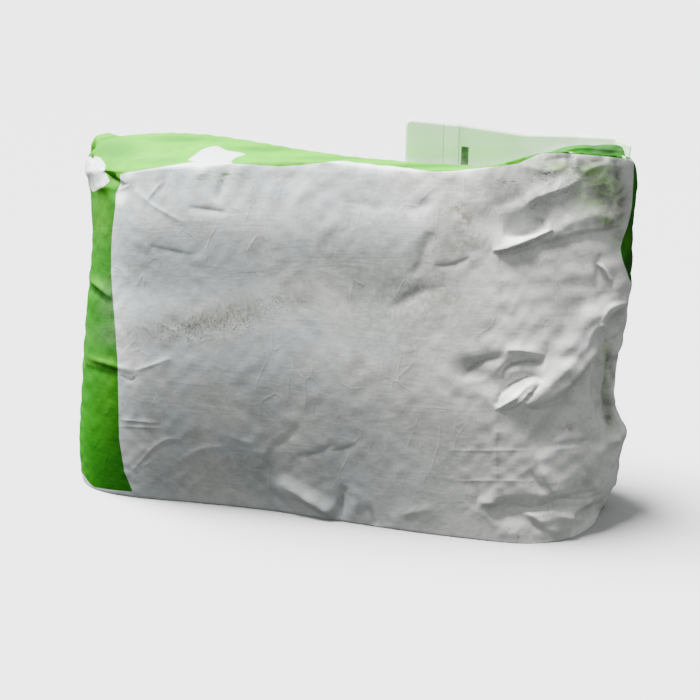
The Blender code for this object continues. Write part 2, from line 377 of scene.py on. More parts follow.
# %% Dents and bulges
Dent = namedtuple("Dent", "route reach move")
DENTS = (
    # The hollow that is bitten into the right end, and the lips of film above and below it
    Dent(((0.214, -0.030, 0.160), (0.207, -0.036, 0.140), (0.206, -0.036, 0.115), (0.213, -0.031, 0.088)),
         0.018, (-0.009, 0.009, 0.0)),
    Dent(((0.222, -0.020, 0.122), (0.222, -0.004, 0.096)), 0.026, (-0.006, 0.0, 0.0)),
    Dent(((0.200, -0.046, 0.172), (0.216, -0.036, 0.184)), 0.020, (0.003, -0.003, 0.0)),
    Dent(((0.222, -0.026, 0.076), (0.222, -0.010, 0.070)), 0.020, (0.005, -0.001, 0.0)),
    # The ridge that runs down from the hollow, and the dent above its foot
    Dent(((0.146, -0.071, 0.113), (0.170, -0.066, 0.132), (0.180, -0.061, 0.150), (0.194, -0.052, 0.170)),
         0.016, (0.001, -0.0045, 0.001)),
    Dent(((0.106, -0.074, 0.136), (0.124, -0.073, 0.128), (0.142, -0.071, 0.126)), 0.014, (0.0, 0.003, 0.0)),
    Dent(((0.163, -0.067, 0.084), (0.176, -0.063, 0.102), (0.188, -0.058, 0.116)), 0.014, (0.0, 0.003, 0.0)),
    # The crease under the overhanging belly, and the tuck where the foot turns in at the right
    Dent(((0.139, -0.070, 0.026), (0.168, -0.064, 0.029), (0.196, -0.052, 0.037)), 0.014, (0.0, 0.006, 0.0)),
    Dent(((0.200, -0.046, 0.010), (0.222, -0.026, 0.011)), 0.020, (-0.010, 0.006, 0.001)),
    # The folds that the empty corner at the upper right pulls into the front panel
    Dent(((0.112, -0.064, 0.240), (0.130, -0.061, 0.237), (0.148, -0.058, 0.236)), 0.018, (0.0, 0.0045, 0.0)),
    Dent(((0.118, -0.067, 0.219), (0.140, -0.062, 0.223), (0.158, -0.057, 0.235)), 0.012, (0.0, -0.004, 0.0)),
    Dent(((0.160, -0.054, 0.232), (0.186, -0.046, 0.242), (0.206, -0.036, 0.236)), 0.014, (0.0, -0.003, 0.0)),
    Dent(((0.137, -0.056, 0.247), (0.156, -0.052, 0.257), (0.176, -0.044, 0.268)), 0.013, (0.0, -0.003, 0.0)),
    Dent(((0.206, -0.037, 0.228), (0.213, -0.030, 0.222)), 0.020, (-0.001, 0.003, 0.0)),
    # The fold along the foot at the left
    Dent(((-0.030, -0.058, 0.026), (0.000, -0.058, 0.009)), 0.014, (0.0, -0.003, 0.0)),
    # The pulled-up corner at the upper left, and the pinch beside it
    Dent(((-0.170, -0.030, 0.276), (-0.184, 0.000, 0.276)), 0.034, (-0.002, 0.0, 0.003)),
    Dent(((-0.188, -0.026, 0.256), (-0.200, 0.000, 0.252)), 0.026, (0.003, 0.0, 0.0)),
    Dent(((-0.163, -0.046, 0.270), (-0.152, -0.050, 0.255)), 0.012, (0.0, 0.004, 0.0)),
)
print(len(DENTS), "dents, the deepest", round(max(np.linalg.norm(dent.move) for dent in DENTS) / MM, 1), "mm")

# %% [markdown]
# Three more strokes are the film's own, because they shape its surface and not the filled block: the panel
# bulges a little under its top edge, and the upper left corner is pulled sharp. Each is at most 6 mm.

# %% Press the dents
FILM_STROKES = (
    Dent(((-0.150, -0.055, 0.230), (-0.060, -0.058, 0.232), (0.070, -0.058, 0.232)),
         0.055, (0.0, -0.0040, 0.0)),
    Dent(((-0.2000, -0.0005, 0.2780), (-0.1998, -0.0050, 0.2745)), 0.015, (0.0060, 0.0, 0.0)),
    Dent(((-0.1880, 0.0110, 0.2880), (-0.1950, 0.0080, 0.2850)), 0.014, (0.0, 0.0, 0.0050)),
)


def distance_to_route(points, route):
    """How far each point is from the nearest stretch of a route."""
    route = np.array(route)
    distances = []
    for start, end in zip(route, route[1:]):
        along = end - start
        share = np.clip((points - start) @ along / (along @ along), 0, 1)
        distances.append(np.linalg.norm(points - start - share[:, None] * along, axis=1))
    return np.min(distances, axis=0)


undented = smooth_points.copy()
for dent in DENTS + FILM_STROKES:
    strength = smoothstep(dent.reach, 0, distance_to_route(undented, dent.route))
    smooth_points += strength[:, None] * np.array(dent.move)
set_points(film.data, smooth_points)
smooth_normals = normals_of(film.data)
print("film dented by up to", round(np.linalg.norm(smooth_points - undented, axis=1).max() / MM, 1), "mm")

# %% [markdown]
# ## Folds where the photograph shows them
# A fold in film is a ridge or a furrow that is steep on one side and soft on the other. They could be
# sculpted by hand, but then nobody could move one later. Here each fold is a short route of picture
# points, and the camera's lines of sight carry it onto the film, which is then lifted or pressed in
# beside the route. `height` is in millimetres, and so are the widths: `left` and `right` are the sides
# as one walks along the route. A fold that is narrow on one side and wide on the other reads as a crease.

# %% Folds of the upper right
Fold = namedtuple("Fold", "route height left right")
UPPER_RIGHT_FOLDS = (
    Fold(((526, 205), (536, 198), (546, 193.4), (557, 190), (568, 185.8), (580, 178)), 2.0, 12, 2.0),
    Fold(((529, 207), (534, 203), (541, 199)), -1.0, 2.0, 6),
    Fold(((486, 208), (506, 203), (528, 199)), -1.5, 10, 9),
    Fold(((503, 234), (518, 234), (533, 231.5), (548, 226)), -4.6, 13, 3.2),
    Fold(((531, 213), (540, 219), (548, 226)), -1.6, 8, 4),
    Fold(((492, 250), (501, 249.5), (513, 246), (525, 242), (537, 236.5), (553, 229)), 4.4, 7, 1.7),
    Fold(((499, 255.5), (514, 254.8), (528, 251), (543, 245)), -1.5, 1.5, 8),
    Fold(((534, 247.5), (557, 240.8), (578.5, 234.8), (600, 231), (622, 227.3)), -1.3, 1.0, 12),
    Fold(((546, 243), (557, 239.5), (578.5, 233.4), (600, 229.6), (620, 226)), 0.7, 3, 0.9),
    Fold(((551, 238), (567.6, 225.5), (578.5, 219.5), (591.5, 215.5), (603.4, 216.5), (614, 221), (628, 227)),
         1.1, 9, 7),
    Fold(((597, 263), (603.4, 269.3), (607.7, 278), (613, 281)), 1.8, 3.0, 1.4),
    Fold(((601, 254), (598, 270), (599, 290)), -1.3, 4.5, 4),
    Fold(((601, 326), (605, 314), (613, 306), (632, 302)), 2.2, 2.4, 12),
    Fold(((598, 303), (603, 296), (616, 293), (630, 294)), -1.4, 8, 5),
    Fold(((583, 350), (590, 334), (599, 325), (608, 331)), 2.0, 3, 9),
    Fold(((517, 165), (532, 168), (548, 170.5), (568, 167)), 1.2, 5, 6),
    Fold(((545, 161), (558, 158.5), (576, 158.5)), -0.5, 2.5, 5),
    Fold(((582, 173.5), (594.7, 167.4), (610, 162)), 1.2, 3.5, 6),
    Fold(((586, 178), (598, 172), (611, 166)), -0.4, 4, 5),
    Fold(((430, 232), (426, 246), (420, 264), (414, 276)), -1.2, 9, 5),
    Fold(((404, 214), (418, 207), (436, 203)), -0.9, 6, 6),
    Fold(((434, 266.5), (446, 266), (458, 263), (470, 258)), -0.7, 2, 4),
    Fold(((388, 312), (404, 301), (421, 293), (440, 288)), -1.1, 8, 6),
    Fold(((330, 165), (308, 186), (288, 205)), 0.8, 12, 7),
    Fold(((345, 200), (375, 208), (402, 205)), -0.6, 8, 8),
    Fold(((490, 336), (498, 324), (509, 312)), -0.6, 7, 5),
)


def say_folds(where, folds):
    heights = [fold.height for fold in folds]
    print(len(folds), "folds", where + ", from", min(heights), "to", max(heights), "mm")


say_folds("at the upper right", UPPER_RIGHT_FOLDS)

# %% [markdown]
# Lower down on the right, three short crescents lie beside one long slanting ridge, and the belly hangs over
# the foot in a deep crease. The crescents are dark at the top, so each is a furrow with a steep upper side.

# %% Folds of the lower right
LOWER_RIGHT_FOLDS = (
    Fold(((463, 380), (470, 370), (481, 362.5), (492, 358.5), (505, 356)), -2.5, 3.6, 6),
    Fold(((465, 381), (477, 381), (490, 378)), 0.8, 3, 3.5),
    Fold(((500, 380), (504, 371), (512, 365), (523, 362), (534, 361.5), (545, 363)), -2.8, 3.2, 6),
    Fold(((504, 379), (514, 381), (526, 376)), 0.8, 3, 2.5),
    Fold(((506, 350), (524, 351), (546, 355.5)), 1.7, 5, 2.0),
    Fold(((497, 406), (501, 395), (508, 387), (516, 381.5), (526, 378), (536, 377), (544, 381)),
         -2.8, 4.2, 2.2),
    Fold(((494, 410), (505, 404), (516, 397.5), (525, 389), (536, 381)), 2.0, 2.8, 2.4),
    Fold(((499, 412.5), (512, 410), (524, 403), (531, 393)), -1.4, 1.6, 6),
    Fold(((526, 402.5), (535, 391), (540, 384)), -1.8, 2, 3),
    Fold(((523, 407.5), (538, 410), (554, 407.5)), -1.5, 1.8, 5),
    Fold(((526, 402), (541, 400), (558, 391), (573, 376), (585, 362), (596, 348), (607, 335)), 4.2, 13, 4.5),
    Fold(((538, 386), (555, 369), (571, 353), (582, 341)), -0.8, 8, 5),
    Fold(((543, 389), (555, 379), (568, 365), (581, 349), (594, 334)), 1.5, 5, 8),
    Fold(((600, 358), (594, 380), (590, 402)), -1.2, 5, 7),
    Fold(((620, 331), (609, 338.5), (604, 353), (601.7, 372), (598.5, 393), (601, 412), (607, 429),
          (622, 443)), 1.6, 2.0, 7),
    Fold(((617, 338), (609, 350), (606.5, 372), (604, 393), (606, 412), (613, 430)), -3.8, 3.5, 2.4),
    Fold(((622, 338), (617, 352), (613.5, 372), (611, 392), (610, 406)), 1.8, 3, 2.5),
    Fold(((610, 409), (617, 420), (623, 436)), 1.8, 3, 3),
    Fold(((605, 342), (613, 338), (623, 331)), -1.8, 1.4, 4),
    Fold(((541, 443), (551, 428), (561, 411), (567, 397)), -2.0, 9, 4),
    Fold(((538, 448), (553, 445), (568, 442.5), (590, 440)), -0.6, 1.6, 3.5),
    Fold(((546, 451), (560, 449), (580, 446)), 0.5, 1.8, 6),
    Fold(((538, 456), (543, 472), (549, 484), (557, 495)), 1.9, 9, 2.6),
    Fold(((528, 470), (537, 482), (547, 494)), -1.3, 3, 7),
    Fold(((622, 444), (616, 455), (612, 468)), 1.8, 4, 5),
    Fold(((585, 470), (597, 455), (612, 447)), 0.9, 8, 8),
    Fold(((507, 505), (528, 507.5), (547, 504), (560, 499.5), (574, 499), (590, 498), (603, 493)),
         -2.3, 1.5, 3.0),
    Fold(((530, 500), (548, 497), (563, 493), (580, 490), (600, 487)), 1.8, 8, 3),
    Fold(((596, 506), (603, 503), (611, 496)), -3.0, 4, 6),
    Fold(((548, 512), (563, 516), (578, 519), (590, 521)), 1.8, 3, 6),
    Fold(((478, 500), (488, 502), (500, 502)), 2.2, 7, 7),
    Fold(((512, 515), (536, 514), (560, 508), (580, 506)), 2.2, 4, 6),
    Fold(((507, 506), (524, 517), (539, 529), (556, 537)), -1.8, 3, 9),
    Fold(((518, 508), (532, 516), (546, 524)), 1.2, 5, 2.5),
    Fold(((575, 385), (566, 405), (552, 425)), 0.8, 8, 8),
    Fold(((450, 450.5), (490, 450.5), (536, 450)), 0.3, 1.6, 1.8),
    Fold(((450, 481), (500, 480.5), (565, 482)), 0.25, 1.6, 2.0),
    Fold(((497, 415), (496, 450), (497, 490)), 0.2, 2.0, 2.0),
    Fold(((450, 395), (470, 400), (484, 398)), -0.6, 8, 8),
)
say_folds("at the lower right", LOWER_RIGHT_FOLDS)

# %% [markdown]
# Along the foot the film is pushed together by the weight above it. The folds here are low and slanting. One
# more fold of this group stiffens the green strip at the top right.

# %% Folds of the foot
FOOT_FOLDS = (
    Fold(((264, 451), (278, 444), (290, 435.5), (301, 423)), -0.8, 3, 6),
    Fold(((260, 458), (268, 449), (276, 445)), 0.8, 4, 4),
    Fold(((296, 456.5), (311, 454.3), (323, 450.5), (334, 443)), -0.6, 2.4, 4.5),
    Fold(((330, 452), (342, 449.5), (357, 444.5)), -0.4, 2.2, 4),
    Fold(((566, 151.5), (580, 149), (598, 149.5), (618, 151), (631, 152)), 1.6, 2.5, 2.5),
    Fold(((286, 488), (297.5, 495), (309, 502), (327, 513), (341, 521)), 1.0, 9, 2.6),
    Fold(((290, 498), (306, 507), (323, 517)), -1.3, 2.5, 8),
    Fold(((345, 486), (342, 500), (341, 518)), -1.4, 4, 3),
    Fold(((356, 488), (356, 504), (358, 520)), 0.8, 5, 5),
    Fold(((369, 507), (373, 516), (377, 527)), -1.3, 3, 3.5),
    Fold(((176, 479), (183, 487), (191, 495)), -0.5, 3, 3),
    Fold(((190, 474), (197, 484), (206, 494)), 0.4, 4, 3),
    Fold(((390, 520), (412, 512), (440, 508)), 0.6, 6, 7),
    Fold(((470, 508), (492, 519), (508, 532)), 0.6, 8, 5),
    Fold(((222, 430), (240, 440), (262, 444)), 0.4, 3, 5),
)
say_folds("at the foot", FOOT_FOLDS)

# %% [markdown]
# The left end is packed full, so its folds are few and fine: two that run round the green end, the pinch at
# the upper corner, and pairs of pressed lines that the film kept from its time flat in the factory.

# %% Folds of the left side and the green end
LEFT_FOLDS = (
    Fold(((84, 277), (97, 285), (112, 298)), 2.0, 5, 3),
    Fold(((84, 286), (97, 295), (110, 306)), -0.9, 3, 6),
    Fold(((82, 354), (94, 359.4), (106, 363), (118, 367), (134, 371)), 1.6, 4, 3),
    Fold(((84, 366), (100, 372), (119, 376)), -0.8, 3, 6),
    Fold(((134, 371), (151, 365.3), (171, 358)), 0.5, 2.0, 2.2),
    Fold(((119, 375), (131, 380.5), (138, 375)), -0.5, 2.0, 2.2),
    Fold(((119, 419.5), (138, 421), (158, 423)), 0.4, 1.8, 2.0),
    Fold(((120, 426), (142, 427), (164, 428)), 0.3, 1.8, 2.0),
    Fold(((132, 471), (145.4, 456), (157, 444.5), (170, 438.6), (184, 440)), 0.45, 2.4, 3.2),
    Fold(((137, 468), (157, 450), (178, 443)), -0.35, 2.4, 3.5),
    Fold(((176, 462), (200, 449), (225, 446)), 0.5, 2.6, 4),
    Fold(((104, 170.5), (112, 177.5), (121, 184.5)), -3.2, 3, 2.2),
    Fold(((119, 189.5), (124, 188), (129, 186)), 1.0, 2.0, 3),
    Fold(((116, 176), (122, 179), (127, 184)), 1.2, 3, 2),
    Fold(((96, 188), (107, 187), (118, 191)), 1.2, 4, 4),
    Fold(((90, 152), (92, 158), (93, 166)), -1.4, 2, 2),
    Fold(((91, 141), (90.5, 147), (91, 152)), -4.0, 6, 6),
    Fold(((96, 141), (108, 138), (124, 137)), 1.6, 4, 5),
    Fold(((146, 201), (155, 190), (163, 181)), 0.5, 2, 2.5),
    Fold(((135, 190), (150, 203), (166, 213), (185, 223)), 0.5, 2.5, 3),
    Fold(((188, 207.5), (206, 209.5), (227, 212.5)), -0.7, 2.5, 4),
    Fold(((227, 171), (222, 184), (216, 202)), -0.7, 5, 4),
    Fold(((128, 157), (150, 155.5), (170, 151.5), (190, 146)), -0.5, 2, 3),
    Fold(((140, 165), (160, 160), (182, 155)), 0.4, 2, 3),
    Fold(((148, 246), (170, 251), (196, 256)), -0.4, 2.2, 6),
    Fold(((300, 170), (318, 190), (325, 215)), -0.4, 7, 7),
)
FOLDS = UPPER_RIGHT_FOLDS + LOWER_RIGHT_FOLDS + FOOT_FOLDS + LEFT_FOLDS
say_folds("at the left", LEFT_FOLDS)
say_folds("on the photograph in all", FOLDS)

# %% [markdown]
# The back isn't in the photograph. A filled sack that has been carried has folds there too, so a few wide
# ones are added, as points of the back panel in metres: across and up.

# %% Folds of the back
BACK_FOLDS = (
    Fold(((-0.150, 0.262), (-0.110, 0.236), (-0.075, 0.222)), 2.0, 7, 12),
    Fold(((-0.160, 0.205), (-0.120, 0.198), (-0.080, 0.203)), -1.6, 8, 8),
    Fold(((-0.168, 0.150), (-0.140, 0.128), (-0.105, 0.118)), 1.8, 8, 12),
    Fold(((-0.155, 0.070), (-0.120, 0.083), (-0.070, 0.078)), -1.8, 9, 7),
    Fold(((-0.140, 0.030), (-0.100, 0.047), (-0.060, 0.045)), 1.6, 9, 9),
    Fold(((-0.050, 0.258), (-0.020, 0.226), (0.005, 0.212)), -1.8, 7, 9),
    Fold(((-0.055, 0.160), (-0.010, 0.152), (0.035, 0.166)), 1.6, 10, 12),
    Fold(((-0.030, 0.105), (0.005, 0.086), (0.040, 0.082)), -1.6, 8, 8),
    Fold(((-0.045, 0.025), (0.000, 0.040), (0.045, 0.030)), 1.8, 9, 7),
    Fold(((0.015, 0.250), (0.035, 0.205), (0.042, 0.150)), 1.4, 8, 8),
)
say_folds("of the back", BACK_FOLDS)

# %% [markdown]
# A route has a few picture points only. It is drawn through them as a smooth curve, and every step of that
# curve is cast onto the film along the camera's line of sight. The back's routes are cast from behind.

# %% Routes on the film
def on_film(surface, column, row):
    """The place on the film that is seen at one point of the photograph."""
    hit = surface.ray_cast(camera.location, place_in_photo(column, row))[0]
    return None if hit is None else np.array(hit)


def route_on_film(surface, route, steps=8):
    """The route's picture points as a smooth line of places on the film."""
    corners = [Vector(point) for point in route]
    corners = [2 * corners[0] - corners[1], *corners, 2 * corners[-1] - corners[-2]]
    line = []
    for before, start, end, after in zip(corners, corners[1:], corners[2:], corners[3:]):
        for step in range(steps):
            t = step / steps
            line.append(0.5 * (
                2 * start + (end - before) * t + (2 * before - 5 * start + 4 * end - after) * t ** 2
                + (3 * start - before - 3 * end + after) * t ** 3
            ))
    line.append(corners[-2])
    places = [on_film(surface, *point) for point in line]
    return np.array([place for place in places if place is not None])


def route_on_back(surface, route, steps=8):
    """The route of a fold of the back, cast onto the film from behind."""
    route = np.array(route)
    stops = np.linspace(0, len(route) - 1, steps)
    across, up = (np.interp(stops, np.arange(len(route)), column) for column in route.T)
    return np.array([surface.ray_cast(Vector((x, 1, z)), Vector((0, -1, 0)))[0] for x, z in zip(across, up)])


surface = BVHTree.FromObject(film, bpy.context.evaluated_depsgraph_get())
routes = [route_on_film(surface, fold.route) for fold in FOLDS]
back_routes = [route_on_back(surface, fold.route) for fold in BACK_FOLDS]
print(len(routes), "routes on the front and", len(back_routes), "on the back")

# %% [markdown]
# The film's faces are 3 mm wide, too coarse for a sharp crease. Finer faces everywhere would make the
# mesh heavy for nothing, so only the faces beside a fold are cut in four, and once more beside a crisp one.

# %% Finer film beside the folds
FINE_REACH, CRISP_REACH = 0.0070, 0.0030
CRISP_SIDE = 2.6


def cut_finer(film, places, reach):
    """Cuts the faces that lie within reach of any of the places in four."""
    tree = KDTree(len(places))
    for number, place in enumerate(places):
        tree.insert(place, number)
    tree.balance()
    mesh = bmesh.new()
    mesh.from_mesh(film.data)
    near = [tree.find(vertex.co)[2] < reach for vertex in mesh.verts]
    beside = [edge for edge in mesh.edges if near[edge.verts[0].index] and near[edge.verts[1].index]]
    bmesh.ops.subdivide_edges(mesh, edges=beside, cuts=1, use_grid_fill=True)
    mesh.to_mesh(film.data)
    mesh.free()


cut_finer(film, np.concatenate(routes), FINE_REACH)
crisp = [route for fold, route in zip(FOLDS, routes) if min(fold.left, fold.right) < CRISP_SIDE]
cut_finer(film, np.concatenate(crisp), CRISP_REACH)
smooth_points = points_of(film.data)
smooth_normals = normals_of(film.data)
film_edges = edges_of(film.data)
on_box = vector_note(film.data, "on_box")
print("film has", len(film.data.polygons), "faces now")

# %% [markdown]
# A fold's height falls off from its route like a pinched sheet: sharp at the crest, then ever softer. It
# also fades out towards both ends of its route. `rested` keeps the underside flat on the floor, and lets the
# film beside it curl up softly from there, as a real foot does. Without it, pressed folds would cut through
# the floor. Last, each point notes how deep it lies in a furrow, where the material paints shade.

# %% Press the folds into the film
CREST_ROUNDING = 0.18
FALL, SOFT_FALL = 1.5, 0.35
REACH_IN_WIDTHS = 3.5
SIDE_BLEND = 0.3
END_FADE = 0.6
FOOT_CURL = 0.0016
FURROW_ROUNDS = 12


def fold_heights(points, normals, route, height, left, right):
    """How far each point is moved out by one fold."""
    reach = REACH_IN_WIDTHS * max(left, right)
    low, high = route.min(0) - reach, route.max(0) + reach
    near = np.flatnonzero(((points > low) & (points < high)).all(1))
    heights = np.zeros(len(points))
    if not len(near) or len(route) < 2:
        return heights
    starts, steps = route[:-1], np.diff(route, axis=0)
    lengths = np.linalg.norm(steps, axis=1)
    walked = np.concatenate([[0], np.cumsum(lengths)])
    best = np.full(len(near), np.inf)
    side, share = np.zeros(len(near)), np.zeros(len(near))
    for number, (start, step, length) in enumerate(zip(starts, steps, lengths)):
        offset = points[near] - start
        t = np.clip(offset @ step / length ** 2, 0, 1)
        away = offset - t[:, None] * step
        distance = np.linalg.norm(away, axis=1)
        closer = distance < best
        best[closer] = distance[closer]
        turned = np.cross(normals[near], step / length)
        side[closer] = np.einsum("ij,ij->i", away, turned)[closer]
        share[closer] = (walked[number] + t * length)[closer] / walked[-1]
    width = left + (right - left) * smoothstep(SIDE_BLEND, -SIDE_BLEND, side / max(left, right))
    away = np.sqrt((best / width) ** 2 + CREST_ROUNDING ** 2) - CREST_ROUNDING
    crest = np.exp(-FALL * away - SOFT_FALL * away ** 2)
    heights[near] = height * crest * np.sin(np.pi * np.clip(share, 0, 1)) ** END_FADE
    return heights


def rested(heights, underside):
    """The underside lies flat on the floor, and the film beside it curls up from there without touching."""
    curled = np.where(heights < FOOT_CURL, FOOT_CURL * np.exp(heights / FOOT_CURL - 1), heights)
    return np.where(underside, np.maximum(heights, 0), curled)


lift = np.zeros(len(smooth_points))
for fold, route in zip(FOLDS + BACK_FOLDS, routes + back_routes):
    sides = fold.left * MM, fold.right * MM
    lift += fold_heights(smooth_points, smooth_normals, route, fold.height * MM, *sides)
film_points = smooth_points + smooth_normals * lift[:, None]
film_points[:, 2] = rested(film_points[:, 2], on_box[:, 2] <= -1)
set_points(film.data, film_points)
film.data.shade_smooth()
hollow = ironed(lift, film_edges, FURROW_ROUNDS) - lift
write_note(film.data, "hollow", hollow / MM)
print("film lifted from", round(lift.min() / MM, 1), "to", round(lift.max() / MM, 1), "mm by its folds")

# %% [markdown]
# ## Where each film point is seen
# The print on the film ends along clean lines: green gussets and end, white panels. A texture image could
# hold them, but this film has no unwrapping that would keep them straight across the folds. So each point
# of the film notes how far it is from the nearest print edge, in millimetres, positive on the white side.
# The material turns that number into a sharp line. The lines were read in the photograph, as the column
# or row where the colour changes, so the film's points are first looked up as picture points.

# %% Film points in the picture
def seen_at(points):
    """The column and row of the photograph where each point is seen."""
    turn_back = np.array(camera_turn.to_matrix()).T
    local = (points - np.array(camera.location)) @ turn_back.T
    scale = FOCAL_LENGTH_IN_PIXELS / -local[:, 2]
    middle = PHOTO_WIDTH / 2
    return middle + scale * local[:, 0], middle - scale * local[:, 1]


PIXEL_IN_MM = CAMERA_DISTANCE / FOCAL_LENGTH_IN_PIXELS / MM
column, row = seen_at(film_points)
film_normals = normals_of(film.data)
to_camera = np.array(camera.location) - film_points
to_camera /= np.linalg.norm(to_camera, axis=1)[:, None]
facing = np.einsum("ij,ij->i", film_normals, to_camera)
print("one picture point is", round(PIXEL_IN_MM, 2), "mm; film seen:", round(float((facing > 0).mean()), 2))

# %% [markdown]
# The white front panel has four edges. At the top it ends on the ironed gusset edge. At the left a green
# band runs round the tube, and at the right the panel rolls over into the folded end. Each edge gives one
# distance, and the smallest one counts. On the sides that the photograph doesn't show, the same rules go by
# the place on the box, so the back panel repeats the front.

# %% Print edges
TOP_PRINT_EDGE = (
    (104, 177), (118, 175), (127, 172.5), (145, 169.5), (165, 166.5), (185, 163), (197, 161.5),
    (214, 162.5), (231, 163.8), (250, 164.5), (280, 166.5), (309, 164.5), (337, 161), (360, 160.5),
    (390, 164), (401, 165.5), (412, 169), (433, 171.8), (451, 171.3), (466, 169.6), (483, 168),
    (498, 166.4), (518, 163.7), (531, 157.7), (542, 153.6), (560, 152.8), (580, 154.4), (600, 156),
    (622, 158.4), (636, 160),
)
LEFT_PRINT_EDGE = (
    (120, 174), (120.5, 184), (116, 193), (115.4, 207), (112.5, 229), (111.4, 247), (111.2, 270),
    (112.5, 292), (115.5, 330), (117.7, 363), (118.5, 405), (119.2, 439), (124.5, 472), (133, 492),
    (140, 505),
)
RIGHT_PRINT_EDGE = (
    (634, 158), (633.5, 180), (632, 205), (630, 217), (627, 228), (622.5, 240), (620.2, 249), (622.5, 260),
    (627, 272), (630, 282), (640, 290), (680, 300),
)
GREEN_END_FOOT = ((76, 466), (82, 473), (90, 484), (94.5, 487.4), (112.5, 490), (132, 491.6), (140, 492))
# Widths on the print are in mm, places in metres, and shares run from -1 to 1 across the box
HALF_HEIGHT, HALF_DEPTH = 0.14, 0.055
EDGE_SLACK = 12.0
HIDDEN_BAND_X, HIDDEN_END_X = -0.163, 0.215
END_WIDER_FROM, END_WIDER_BY = (0.19, 0.13), 40
WHITE_UNDER_FOOT = 14
SEEN_AT_FRONT = 0.03
LEFT_SHARE, RIGHT_SHARE = -0.4, 0.4
FOOT_CORNER_COLUMN, FOOT_CORNER_ROW = 140, 455
FOOT_CORNER_FACING, FOOT_CORNER_HEIGHT = -0.2, 0.05


def along_line(line, values, by_row):
    """Reads a line of picture points: its column at each row, or its row at each column."""
    columns, rows = np.array(line).T
    return np.interp(values, rows, columns) if by_row else np.interp(values, columns, rows)


def white_panel_distance():
    """Millimetres from the nearest print edge, positive on the white panels."""
    rest_x = film_points[:, 0]
    across, back, up = on_box.T
    panel_gap = (1 - abs(back)) * HALF_DEPTH / MM
    below_top = (1 - up) * HALF_HEIGHT / MM - panel_gap
    above_foot = (1 + up) * HALF_HEIGHT / MM - panel_gap + WHITE_UNDER_FOOT
    front_seen = (back < 0) & (facing > SEEN_AT_FRONT)
    seen_top = (row - along_line(TOP_PRINT_EDGE, column, False)) * PIXEL_IN_MM
    near_top = np.clip(seen_top, below_top - EDGE_SLACK, below_top + EDGE_SLACK)
    below_top = np.where(front_seen, near_top, below_top)
    seen_left = (column - along_line(LEFT_PRINT_EDGE, row, True)) * PIXEL_IN_MM
    hidden_left = (rest_x - HIDDEN_BAND_X) / MM
    right_of_band = np.where(front_seen & (across < LEFT_SHARE), seen_left, hidden_left)
    seen_right = (along_line(RIGHT_PRINT_EDGE, row, True) - column) * PIXEL_IN_MM
    wider = smoothstep(*END_WIDER_FROM, film_points[:, 2]) * END_WIDER_BY
    hidden_right = (HIDDEN_END_X - rest_x) / MM + wider
    left_of_end = np.where(front_seen & (across > RIGHT_SHARE), seen_right, hidden_right)
    distance = np.minimum.reduce([below_top, above_foot, right_of_band, left_of_end])
    foot_film = (row - along_line(GREEN_END_FOOT, column, False)) * PIXEL_IN_MM
    at_foot = (column < FOOT_CORNER_COLUMN) & (row > FOOT_CORNER_ROW)
    at_foot &= (facing > FOOT_CORNER_FACING) & (film_points[:, 2] < FOOT_CORNER_HEIGHT)
    return np.where(at_foot, np.maximum(distance, foot_film), distance)


white_distance = white_panel_distance()
print("white part of the film:", round(float((white_distance > 0).mean()), 2))

# %% [markdown]
# Two bare white fields are left open in the green print: a slanted one on the dome, and one that wraps
# round the upper left corner. They are outlines of picture points, and the distance to such an outline is
# positive inside it.

# %% Bare white fields
DOME_FIELD = (
    (187.2, 160.4), (195.3, 154.5), (202.2, 149.3), (216, 145.3), (226.3, 150.5), (247, 153.9),
    (234.4, 157.6), (228.6, 164.5),
)
CORNER_FIELD = (
    (93, 159), (94.7, 155.9), (100.5, 158), (105.6, 164.8), (104.5, 170.6), (109.7, 181), (103.3, 186.7),
    (93, 192), (89.5, 187), (80, 178), (78, 160), (90, 156.4),
)
FIELD_FACING, FIELD_BACK_LIMIT = -0.05, 0.075
UPPER_SHARE, LEFT_END_SHARE = 0.5, -0.5


def inside_outline(outline, columns, rows):
    """Picture points from the outline, positive inside it."""
    nearest = np.full(len(columns), np.inf)
    inside = np.zeros(len(columns), bool)
    for (x0, y0), (x1, y1) in zip(outline, outline[1:] + outline[:1]):
        dx, dy = x1 - x0, y1 - y0
        t = np.clip(((columns - x0) * dx + (rows - y0) * dy) / (dx * dx + dy * dy), 0, 1)
        nearest = np.minimum(nearest, np.hypot(columns - x0 - t * dx, rows - y0 - t * dy))
        crossed = (y0 > rows) != (y1 > rows)
        inside ^= crossed & (columns < x0 + (rows - y0) / (dy if dy else 1e-9) * dx)
    return np.where(inside, nearest, -nearest)


for field, part in ((DOME_FIELD, on_box[:, 2] > UPPER_SHARE), (CORNER_FIELD, on_box[:, 0] < LEFT_END_SHARE)):
    visible = part & (facing > FIELD_FACING) & (film_points[:, 1] < FIELD_BACK_LIMIT)
    field_distance = inside_outline(field, column, row) * PIXEL_IN_MM
    white_distance = np.where(visible, np.maximum(white_distance, field_distance), white_distance)
write_note(film.data, "white_distance", white_distance)
print("white part with the two fields:", round(float((white_distance > 0).mean()), 3))
